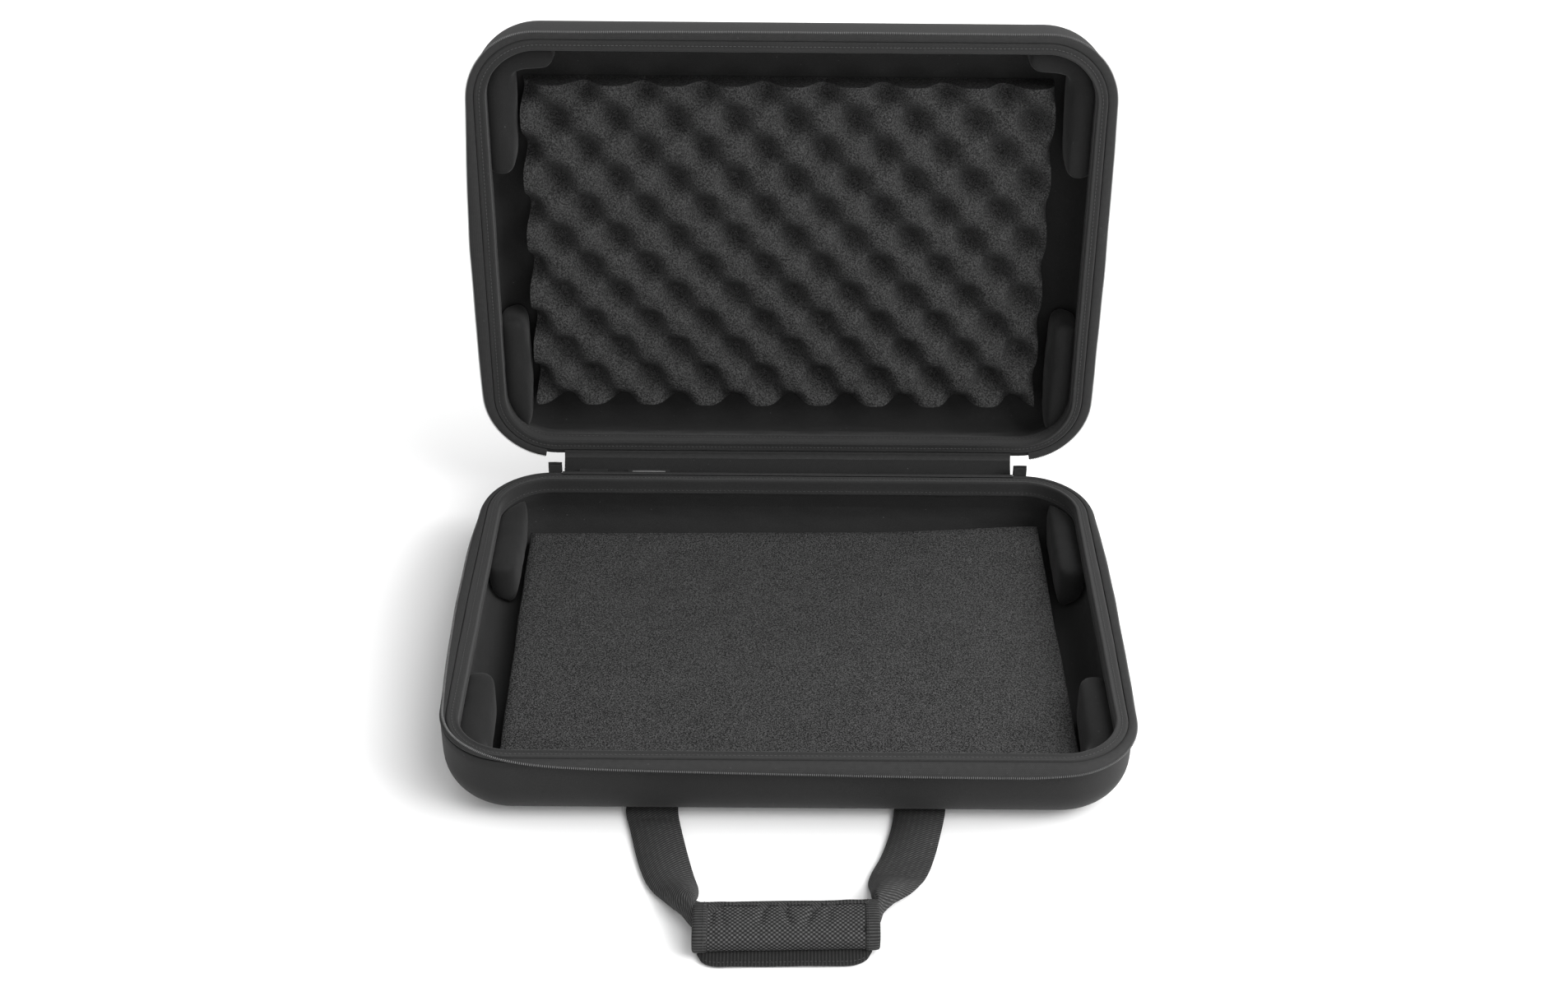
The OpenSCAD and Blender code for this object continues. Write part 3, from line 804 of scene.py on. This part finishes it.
waveFoam = {
    "width": 430, "depth": 289, "base": 6.0, "wave": 22.0, "centre": (-2.2, 6.0), "lift": 8.3,
    "pitchX": 48.6, "pitchY": 52.6, "crestX": -21.8, "crestY": -3.6,  # one crest, in the lid's plan
    "ridge": 0.57,  # how much the crests run together into slanting ridges
}


def buildWaveTree():
    # a slab whose top rises and falls along two crossed rows of waves
    tree, given, out = newTree("waveFoamSlab", [
        ("Width", "Float", 0.44), ("Depth", "Float", 0.3), ("Base", "Float", 0.009), ("Wave", "Float", 0.018),
        ("Pitch X", "Float", 0.0486), ("Pitch Y", "Float", 0.0526), ("Crest X", "Float", 0.0),
        ("Crest Y", "Float", 0.0), ("Ridge", "Float", 0.62), ("Finish", "Material", None)])
    tree.interface.items_tree["Ridge"].description = "Share of the wave in the slanting ridges"
    use = given.outputs
    size = addNode(tree, "ShaderNodeCombineXYZ", {"X": use["Width"], "Y": use["Depth"], "Z": 1.0})
    slab = addNode(tree, "GeometryNodeMeshCube", {
        "Size": size.outputs[0], "Vertices X": 190, "Vertices Y": 130, "Vertices Z": 7})
    spot = addNode(tree, "GeometryNodeInputPosition")
    parts = addNode(tree, "ShaderNodeSeparateXYZ", {"Vector": spot.outputs[0]})
    x, y, z = parts.outputs
    turnsX = calc(tree, "DIVIDE", calc(tree, "SUBTRACT", x, use["Crest X"]), use["Pitch X"])
    turnsY = calc(tree, "DIVIDE", calc(tree, "SUBTRACT", y, use["Crest Y"]), use["Pitch Y"])
    ridge = calc(tree, "COSINE", calc(tree, "MULTIPLY", calc(tree, "SUBTRACT", turnsX, turnsY), 2 * math.pi))
    cross = calc(tree, "COSINE", calc(tree, "MULTIPLY", calc(tree, "ADD", turnsX, turnsY), 2 * math.pi))
    wave = calc(tree, "ADD", calc(tree, "MULTIPLY", ridge, use["Ridge"]),
                calc(tree, "MULTIPLY", cross, calc(tree, "SUBTRACT", 1.0, use["Ridge"])))
    share = calc(tree, "MULTIPLY_ADD", wave, 0.5, 0.5)
    share = calc(tree, "SINE", calc(tree, "MULTIPLY", share, math.pi / 2))  # rounder crests, deeper pits
    uneven = addNode(tree, "ShaderNodeTexNoise", {"Vector": spot.outputs[0], "Scale": 14.0, "Detail": 2.0})
    share = calc(tree, "MULTIPLY", share, calc(tree, "MULTIPLY_ADD", uneven.outputs["Fac"], 0.24, 0.86))
    full = calc(tree, "MULTIPLY_ADD", share, use["Wave"], use["Base"])
    level = calc(tree, "ADD", z, 0.5)
    height = calc(tree, "MULTIPLY", level, full)
    # the sides lean out at a crest and in at a pit
    pull = calc(tree, "MULTIPLY", level, calc(tree, "MULTIPLY_ADD", share, 0.0026, -0.0013))
    ex = calc(tree, "MULTIPLY", pull, calc(tree, "DIVIDE", x, calc(tree, "MULTIPLY", use["Width"], 0.5)))
    ey = calc(tree, "MULTIPLY", pull, calc(tree, "DIVIDE", y, calc(tree, "MULTIPLY", use["Depth"], 0.5)))
    place = addNode(tree, "ShaderNodeCombineXYZ", {
        "X": calc(tree, "ADD", x, ex), "Y": calc(tree, "ADD", y, ey), "Z": height})
    shaped = addNode(tree, "GeometryNodeSetPosition", {
        "Geometry": slab.outputs["Mesh"], "Position": place.outputs[0]})
    solid = addNode(tree, "GeometryNodeRealizeInstances", {"Geometry": shaped.outputs["Geometry"]})
    painted = addNode(tree, "GeometryNodeSetMaterial", {
        "Geometry": solid.outputs["Geometry"], "Material": use["Finish"]})
    tree.links.new(painted.outputs["Geometry"], out.inputs["Geometry"])
    return tree


def makeWaveFoam():
    host = bpy.data.objects.new("waveHost", bpy.data.meshes.new("waveHost"))
    scene.collection.objects.link(host)
    cx, cy = waveFoam["centre"]
    obj = runTree("lid_wave_foam", host, buildWaveTree(), {
        "Width": waveFoam["width"] * mm, "Depth": waveFoam["depth"] * mm, "Base": waveFoam["base"] * mm,
        "Wave": waveFoam["wave"] * mm, "Pitch X": waveFoam["pitchX"] * mm, "Pitch Y": waveFoam["pitchY"] * mm,
        "Crest X": (waveFoam["crestX"] - cx) * mm, "Crest Y": (waveFoam["crestY"] - cy) * mm,
        "Ridge": waveFoam["ridge"], "Finish": waveFoamCells})
    obj.data.transform(Matrix.Translation(Vector((cx, cy, waveFoam["lift"])) * mm))
    mesh = obj.data
    bpy.data.objects.remove(obj)
    obj = finishMesh("lid_wave_foam", mesh, "lid", sharp=55)
    settle(obj, "lid", "wave_foam", "lid_foam")
    return obj


def roundedSlab(width, depth, thick, edge, counts):
    # a sheet of foam with soft edges, standing on z = 0
    nx, ny, nz = counts
    xs = np.linspace(-width / 2, width / 2, nx + 1)
    ys = np.linspace(-depth / 2, depth / 2, ny + 1)
    points, faces = [], []
    # the outline's points in order, and then one ring for each level of the side
    outline = [(x, ys[0]) for x in xs[:-1]] + [(xs[-1], y) for y in ys[:-1]]
    outline += [(x, ys[-1]) for x in xs[:0:-1]] + [(xs[0], y) for y in ys[:0:-1]]
    levels = [(edge * (1 - math.sin(math.pi * k / nz) ** 0.5), thick / 2 * (1 - math.cos(math.pi * k / nz)))
              for k in range(nz + 1)]
    index = {}
    for level, z in ((0, 0.0), (nz, thick)):
        for i, x in enumerate(xs):
            for j, y in enumerate(ys):
                index[level, i, j] = len(points)
                points.append((x * (1 - 2 * edge / width), y * (1 - 2 * edge / depth), z))
        for i in range(nx):
            for j in range(ny):
                turn = ((i, j), (i + 1, j), (i + 1, j + 1), (i, j + 1))
                face = tuple(index[level, a, b] for a, b in turn)
                faces.append(face if level else face[::-1])
    border = [(i, 0) for i in range(nx)] + [(nx, j) for j in range(ny)]
    border += [(i, ny) for i in range(nx, 0, -1)] + [(0, j) for j in range(ny, 0, -1)]
    rings = []
    for k, (inset, z) in enumerate(levels):
        if k in (0, nz):
            rings.append([index[k, i, j] for i, j in border])
            continue
        ring = []
        for x, y in outline:
            ring.append(len(points))
            points.append((x * (1 - 2 * inset / width), y * (1 - 2 * inset / depth), z))
        rings.append(ring)
    for low, high in zip(rings, rings[1:]):
        for k in range(len(low)):
            k2 = (k + 1) % len(low)
            faces.append((low[k], low[k2], high[k2], high[k]))
    return points, faces


flatSheet = {
    "width": 436, "depth": 304, "thick": 14, "turn": 0.9, "centre": (0, 5), "lift": 8.0,
    "edge": 1.6, "counts": (72, 50, 6), "cornerShift": 2.2, "cornerRise": 5.0,  # the back right corner
}


def makeFlatFoam():
    points, faces = roundedSlab(flatSheet["width"], flatSheet["depth"], flatSheet["thick"],
                                flatSheet["edge"], flatSheet["counts"])
    points = np.array(points)
    for k, (x, y, z) in enumerate(points):
        edge = 0.9 * bumpy(x, y, 3.0, 55.0)
        corner = float(smooth(x, 60, 218)) * float(smooth(y, 20, 152))
        points[k] = (x + edge, y + 0.7 * bumpy(x, y, 9.0, 60.0) + flatSheet["cornerShift"] * corner,
                     z + flatSheet["cornerRise"] * corner ** 1.5
                     + 0.8 * bumpy(x, y, 5.0, 80.0) * float(smooth(z, 2, 10)))
    turn = math.radians(flatSheet["turn"])
    c, s = math.cos(turn), math.sin(turn)
    cx, cy = flatSheet["centre"]
    moved = [(x * c - y * s + cx, x * s + y * c + cy, z + flatSheet["lift"]) for x, y, z in points]
    mesh = bpy.data.meshes.new("base_flat_foam")
    mesh.from_pydata((np.array(moved) * mm).tolist(), [], faces)
    obj = paint(finishMesh("base_flat_foam", mesh, sharp=60), flatFoam)
    settle(obj, "base_insert", "flat_foam", "base_foam")
    return obj


makeWaveFoam()
makeFlatFoam()
print("foams ready")


# corner pads

pads = {
    "voxel": 0.0045, "roundings": 9, "inset": 0.99,
    "pressure": 4.0, "frames": 20, "cap": 3.4, "fold": 0.45,
}


def padStart(name, node):
    # a slightly smaller, rounded copy of the pad's room, ready to be filled
    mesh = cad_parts[node].data.copy()
    work = bmesh.new()
    work.from_mesh(mesh)
    bmesh.ops.remove_doubles(work, verts=work.verts, dist=1e-5)
    work.to_mesh(mesh)
    work.free()
    obj = bpy.data.objects.new(name, mesh)
    scene.collection.objects.link(obj)
    cut = obj.modifiers.new("cut", "REMESH")
    cut.mode = "VOXEL"
    cut.voxel_size = pads["voxel"]
    rounding = obj.modifiers.new("rounding", "SMOOTH")
    rounding.factor = 0.5
    rounding.iterations = pads["roundings"]
    bpy.context.view_layer.update()
    ready = obj.evaluated_get(bpy.context.evaluated_depsgraph_get())
    rounded = bpy.data.meshes.new_from_object(ready)
    obj.modifiers.clear()
    normals = np.zeros(len(rounded.vertices) * 3)
    rounded.vertices.foreach_get("normal", normals)
    places = np.zeros(len(rounded.vertices) * 3)
    rounded.vertices.foreach_get("co", places)
    rounded.vertices.foreach_set("co", places - normals * pads["inset"] * mm)
    rounded.update()
    obj.data = rounded
    return obj


def fillPads(started):
    # every pad is filled at once, as cloth under pressure, and then held to a small swelling
    rest = {}
    for obj in started:
        count = len(obj.data.vertices)
        rest[obj.name] = np.zeros(count * 3)
        obj.data.vertices.foreach_get("co", rest[obj.name])
        fill = obj.modifiers.new("fill", "CLOTH")
        fill.settings.quality = 4
        fill.settings.mass = 0.3
        fill.settings.use_pressure = True
        fill.settings.uniform_pressure_force = pads["pressure"]
        fill.settings.effector_weights.gravity = 0
        fill.settings.tension_stiffness = 12
        fill.point_cache.frame_start = 1
        fill.point_cache.frame_end = pads["frames"]
    for k in range(1, pads["frames"] + 1):
        scene.frame_set(k)
    graph = bpy.context.evaluated_depsgraph_get()
    for obj in started:
        ready = bpy.data.meshes.new_from_object(obj.evaluated_get(graph))
        obj.modifiers.clear()
        now = np.zeros(len(ready.vertices) * 3)
        ready.vertices.foreach_get("co", now)
        move = (now - rest[obj.name]).reshape(-1, 3)
        far = np.linalg.norm(move, axis=1)[:, None] + 1e-12
        move = move / far * np.minimum(far, pads["cap"] * mm)
        ready.vertices.foreach_set("co", (rest[obj.name].reshape(-1, 3) + move).ravel())
        ready.update()
        obj.data = ready
    scene.frame_set(1)


def makePads():
    kinds = [(half, place) for half in ("base", "lid") for place in ("front", "back")]
    nodes = [f"{half}_pad_{place}_left" for half, place in kinds]
    started = [padStart(node + "_soft", node) for node in nodes]
    fillPads(started)
    for (half, place), node, obj in zip(kinds, nodes, started):
        finer = obj.modifiers.new("finer", "SUBSURF")
        finer.levels = finer.render_levels = 1
        bpy.context.view_layer.update()
        mesh = bpy.data.meshes.new_from_object(obj.evaluated_get(bpy.context.evaluated_depsgraph_get()))
        obj.modifiers.clear()
        places = np.array([v.co for v in mesh.vertices])
        normals = np.array([v.normal for v in mesh.vertices])
        for co, normal in zip(places, normals):  # slack cloth shows shallow folds
            co += normal * pads["fold"] * mm * bumpy(co[0] * 1000, co[1] * 1000, co[2] * 1000, 17.0)
        mesh.vertices.foreach_set("co", places.ravel())
        other = mesh.copy()
        other.transform(Matrix.Diagonal((-1, 1, 1, 1)))
        bpy.data.objects.remove(obj)
        for side, shape in (("left", mesh), ("right", other)):
            made = paint(finishMesh(f"{half}_corner_pad_{place}_{side}", shape, sharp=None), padFabric)
            settle(made, half, "lining_fabric", node.replace("left", side))


makePads()
print("corner pads ready")


# carrying handle

webbing = {
    "width": 38.0, "thick": 2.0, "across": 17, "along": 230,
    # outer edge x, y and inner edge x, y of each run, from under the case to the grip, and its lowest point
    "left": [(-118, -167.5, -80, -167.5, 0.6), (-118, -179, -79.5, -179, 0.6),
             (-113.5, -198, -76.5, -197, 0.6), (-107, -227, -71, -223, 0.7), (-101, -247, -66, -244, 1.0),
             (-94.5, -260, -62.5, -257, 1.6), (-86, -270, -62.5, -266, 2.4), (-78, -279, -65, -273, 3.4),
             (-71.5, -285.5, -65.5, -277.5, 4.6)],
    "right": [(118, -167.5, 80, -167.5, 0.6), (116.5, -179, 79, -179, 0.6), (112.5, -198, 76, -197, 0.6),
              (106.5, -224, 69, -221, 0.7), (99.5, -244, 61, -240, 1.0), (90, -258, 58.5, -252, 1.6),
              (80, -267, 60.5, -262, 2.4), (72, -274, 62.5, -269, 3.4), (66.5, -282, 62, -274, 4.6)],
    "grip": [(-60, -301, -60, -283, 4.6), (-30, -300, -30, -282.5, 4.6), (0, -299.5, 0, -281, 4.6),
             (30, -299, 30, -280.5, 4.6), (60, -298, 60, -280, 4.6)],
}


def curl(width, chord):  # the half angle of an arc that is width long and chord across
    low, high = 1e-3, math.pi * 0.92
    share = min(0.999, chord / width)
    for k in range(40):
        middle = (low + high) / 2
        low, high = (middle, high) if math.sin(middle) / middle > share else (low, middle)
    return (low + high) / 2


def makeWebbing():
    keys = along(webbing["left"] + webbing["grip"] + webbing["right"][::-1], webbing["along"])
    grid = []
    for ox, oy, ix, iy, low in keys:
        chord = math.hypot(ix - ox, iy - oy)
        half = curl(webbing["width"], chord)
        radius = webbing["width"] / 2 / half
        row = []
        for t in np.linspace(-1, 1, webbing["across"]):
            side = 0.5 + 0.5 * math.sin(half * t) / math.sin(half) if half > 0.02 else 0.5 + 0.5 * t
            if half > math.pi / 2:
                side = 0.5 + radius * math.sin(half * t) / chord
            rise = radius * (math.cos(half * t) - math.cos(half))
            row.append((ox + (ix - ox) * side, oy + (iy - oy) * side, low + webbing["thick"] / 2 + rise))
        grid.append(row)
    obj = paint(thickSheet("carry_webbing", grid, webbing["thick"], edge=0.6), webbingWeave)
    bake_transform(obj)
    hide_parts("handle_webbing", "strap_anchor_left", "strap_anchor_right")
    return obj


grip = {
    "halfWidth": 18.8, "halfThick": 9.6, "middleY": -301.4, "middleZ": 11.2, "slope": 0.033,
    "panelEnd": 55.6, "panelThick": 3.0, "bandGrow": 0.55, "bandThick": 0.8, "stitchSpacing": 3.0,
    # the end bindings: distance from the middle, and how far they stand out from the panel
    "binding": [(54.4, -0.6), (54.6, 0.5), (55.2, 0.95), (57.5, 0.85), (60, 0.9), (62.5, 0.8), (63.8, 0.3),
                (64.4, -0.8), (64.5, -2.4), (64.2, -5.0), (63.0, -7.4), (60.5, -8.0)],
    # wrinkles: x, depth, width, slant
    "wrinkles": [(-51, 1.9, 2.6, 0.10), (-45, 1.0, 2.2, -0.1), (-16, 1.7, 2.6, 0.15), (-1, 2.1, 2.4, -0.25),
                 (19, 2.6, 2.6, 0.45), (30, 0.9, 2.4, 0.2)],
}


def gripRing(x, grow=0.0, count=64, soft=True):
    # the grip's cross-section at x, from its case-side edge over the top and back underneath
    ring = []
    for k in range(count):
        a = 2 * math.pi * k / count
        c, s = math.cos(a), math.sin(a)
        y = math.copysign(abs(c) ** 0.72, c) * (grip["halfWidth"] + grow)
        z = math.copysign(abs(s) ** 0.62, s) * (grip["halfThick"] + grow)
        if soft and s > 0:
            place = y + grip["halfWidth"]  # from the front edge to the case side
            for wx, depth, wide, slant in grip["wrinkles"]:
                near = math.exp(-((x - wx - slant * (place - 26)) / wide) ** 2)
                z -= depth * near * float(smooth(place, 8, 18)) * float(1 - smooth(place, 32, 37))
            z -= 1.3 * math.exp(-((place - 33.6) / 1.3) ** 2) * 0.6  # the band's seam
            z -= 1.1 * math.exp(-((place - 6.5) / 2.2) ** 2)  # the fold over the flap
            z += 0.5 * bumpy(x, place, 2.0, 13.0)
        sag = 1.2 * math.sin(math.pi * (x + 64) / 128)
        ring.append((x, y + grip["middleY"] + grip["slope"] * x - 0.7 * sag * (c > 0),
                     z + grip["middleZ"] + 0.25 * bumpy(x, 0, 8.0, 20.0)))
    return ring


def ringPath(ring):
    return lengths(np.array(ring + ring[:1]))[:-1] * mm


def makeGrip():
    xs = np.linspace(-grip["panelEnd"], grip["panelEnd"], 96)
    rings = [gripRing(x) for x in xs]
    inside = [gripRing(x, -grip["panelThick"]) for x in xs[::-1]]
    panel = gridMesh("grip_panel", rings + inside, ringed=True, looped=True,
                     u=np.append(xs, -xs + 0.23) * mm, v=ringPath(gripRing(0)), sharp=60)
    settle(paint(panel, gripWeave), "handle", "grip_weave", "grip_wrap", "grip_core")

    # the ribbed band over the case-side edge
    grid = []
    for x in np.linspace(-grip["panelEnd"] - 0.4, grip["panelEnd"] + 0.4, 80):
        ring = gripRing(x, grip["bandGrow"], 128)
        grid.append([ring[k % 128] for k in range(-8, 23)])
    band = paint(thickSheet("grip_edge_band", grid, grip["bandThick"], edge=0.5), gripRibbon)
    settle(band, "handle", "grip_ribbon")
    seam = [(row[-2][0], row[-2][1], row[-2][2] + grip["bandGrow"]) for row in grid]
    obj = rowOf("grip_band_stitches", stitchSmall, seam, grip["stitchSpacing"], seamThread)
    settle(obj, "handle", "grip_ribbon")

    keys = grip["binding"]
    run = np.append(0, np.cumsum([abs(a[0] - b[0]) + abs(a[1] - b[1]) for a, b in zip(keys, keys[1:])]))
    for side, sign in (("left", -1), ("right", 1)):
        rows = []
        for x, grow in keys:
            uneven = 0.25 * bumpy(x * 9, sign * 7, 0.0, 5.0)
            rows.append(gripRing(sign * x, grow + uneven, soft=False))
        made = gridMesh("grip_binding_ribbon_" + side, rows, looped=True, capRows=True,
                        u=run * mm, v=ringPath(rows[3]), sharp=60)
        for corner in made.data.uv_layers["run"].data:  # its ribs run along the case
            corner.uv = (corner.uv[1], corner.uv[0])
        settle(paint(made, gripRibbon), "handle", "grip_ribbon", "grip_binding_" + side)
        line = gripRing(sign * 56.6, 1.15, soft=False)
        obj = rowOf("grip_binding_stitches_" + side, stitchSmall, line, grip["stitchSpacing"], seamThread,
                    closed=True, upwards=(sign, 0, 0))
        settle(obj, "handle", "grip_ribbon")


flap = {"left": -60, "right": 58, "back": -317.0, "front": -330.0, "corner": 16, "thick": 2.2}


def makeFlap():
    grid = []
    corner = flap["corner"]
    depth = flap["back"] - flap["front"]
    for x in np.linspace(flap["left"], flap["right"], 90):
        near = min(x - flap["left"], flap["right"] - x, corner)
        cut = 1 - math.sqrt(max(0.0, 1 - (1 - near / corner) ** 2))
        tilt = grip["slope"] * x + 0.5
        row = []
        for t in np.linspace(0, 1, 12):
            y = flap["back"] + tilt - depth * t * (1 - 0.86 * cut) * (1 + 0.03 * math.sin(x / 17))
            z = 1.6 + 2.6 * (1 - t) ** 1.5 + 0.35 * math.sin(x / 9.0) * t
            row.append((x, y, z))
        grid.append(row)
    obj = paint(thickSheet("grip_closing_flap", grid, flap["thick"], edge=0.6), flapRibbon)
    settle(obj, "flap", "grip_weave", "grip_flap")
    line = [(row[-3][0], row[-3][1], row[-3][2] + 1.25) for row in grid[4:-4]]
    rows = rowOf("grip_flap_stitches", stitchSmall, line, grip["stitchSpacing"], seamThread)
    settle(rows, "flap", "grip_weave")


makeWebbing()
makeGrip()
makeFlap()
print("handle ready")


# what the frame itself shows

for node in ("zip_slider_left", "zip_slider_right", "zip_puller_left", "zip_puller_right"):
    paint(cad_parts[node], blackMetal)

for helper in (stitch, stitchSmall, tooth):
    bpy.data.objects.remove(helper)


# floor, light and camera

studio = {
    "floor": 14, "floorDrop": 0.0006, "sky": 0.62, "sun": 2.0, "sunAngle": 60, "sunAim": (-0.85, 0.25, -1.0),
    # each soft light's place, aim, size and power
    "lights": {
        "key": ((1.8, -0.8, 1.5), (0.1, 0.05, 0.15), (1.5, 1.2), 34.0),
        "fill": ((0.5, -2.1, 0.8), (0, 0.1, 0.2), (1.4, 1.0), 10.0),
        "back": ((0.9, 1.3, 1.7), (0.1, 0.2, 0.3), (1.4, 1.0), 18.0),
    },
}


def makeFloor():
    work = bmesh.new()
    bmesh.ops.create_grid(work, x_segments=8, y_segments=8, size=studio["floor"])
    mesh = bpy.data.meshes.new("studio_floor")
    work.to_mesh(mesh)
    work.free()
    mesh.transform(Matrix.Translation((0, 0, -studio["floorDrop"])))
    obj = bpy.data.objects.new("studio_floor", mesh)
    scene.collection.objects.link(obj)
    mat = bpy.data.materials.new("paleFloor")
    mat.use_nodes = True
    shader = mat.node_tree.nodes["Principled BSDF"]
    shader.inputs["Base Color"].default_value = (0.94, 0.94, 0.94, 1)
    shader.inputs["Roughness"].default_value = 0.9
    shader.inputs["Specular IOR Level"].default_value = 0.1
    mesh.materials.append(mat)


def areaLight(name, place, aim, size, power):
    light = bpy.data.lights.new(name, "AREA")
    light.shape = "RECTANGLE"
    light.size, light.size_y = size
    light.energy = power
    obj = bpy.data.objects.new(name, light)
    scene.collection.objects.link(obj)
    obj.location = place
    obj.rotation_euler = (Vector(aim) - Vector(place)).to_track_quat("-Z", "Y").to_euler()


def makeStudio():
    world = bpy.data.worlds.new("studio")
    scene.world = world
    world.use_nodes = True
    world.node_tree.nodes["Background"].inputs["Color"].default_value = (1, 1, 1, 1)
    world.node_tree.nodes["Background"].inputs["Strength"].default_value = studio["sky"]
    for name, settings in studio["lights"].items():
        areaLight(name, *settings)
    lamp = bpy.data.lights.new("broadLight", "SUN")
    lamp.energy, lamp.angle = studio["sun"], math.radians(studio["sunAngle"])
    sun = bpy.data.objects.new("broadLight", lamp)
    scene.collection.objects.link(sun)
    sun.rotation_euler = Vector(studio["sunAim"]).to_track_quat("-Z", "Y").to_euler()
    scene.view_settings.view_transform = "Standard"
    scene.view_settings.look = "None"


viewpoint = {
    "place": (-6.885, -1379.35, 1093.70), "pitch": 33.894, "yaw": 0.145, "roll": 0.516,
    "lens": 50.02, "sensor": 36.0,
}


def makeCamera():
    pitch, yaw, roll = [math.radians(viewpoint[key]) for key in ("pitch", "yaw", "roll")]
    ahead = Vector((math.sin(yaw) * math.cos(pitch), math.cos(yaw) * math.cos(pitch), -math.sin(pitch)))
    level = Vector((math.cos(yaw), -math.sin(yaw), 0))
    upward = level.cross(ahead)
    right = level * math.cos(roll) + upward * math.sin(roll)
    top = -level * math.sin(roll) + upward * math.cos(roll)
    data = bpy.data.cameras.new("camera")
    data.lens, data.sensor_width = viewpoint["lens"], viewpoint["sensor"]
    camera = bpy.data.objects.new("camera", data)
    scene.collection.objects.link(camera)
    turn = Matrix((right, top, -ahead)).transposed().to_4x4()
    camera.matrix_world = Matrix.Translation(Vector(viewpoint["place"]) * mm) @ turn
    scene.camera = camera


makeFloor()
makeStudio()
makeCamera()
print("studio ready")
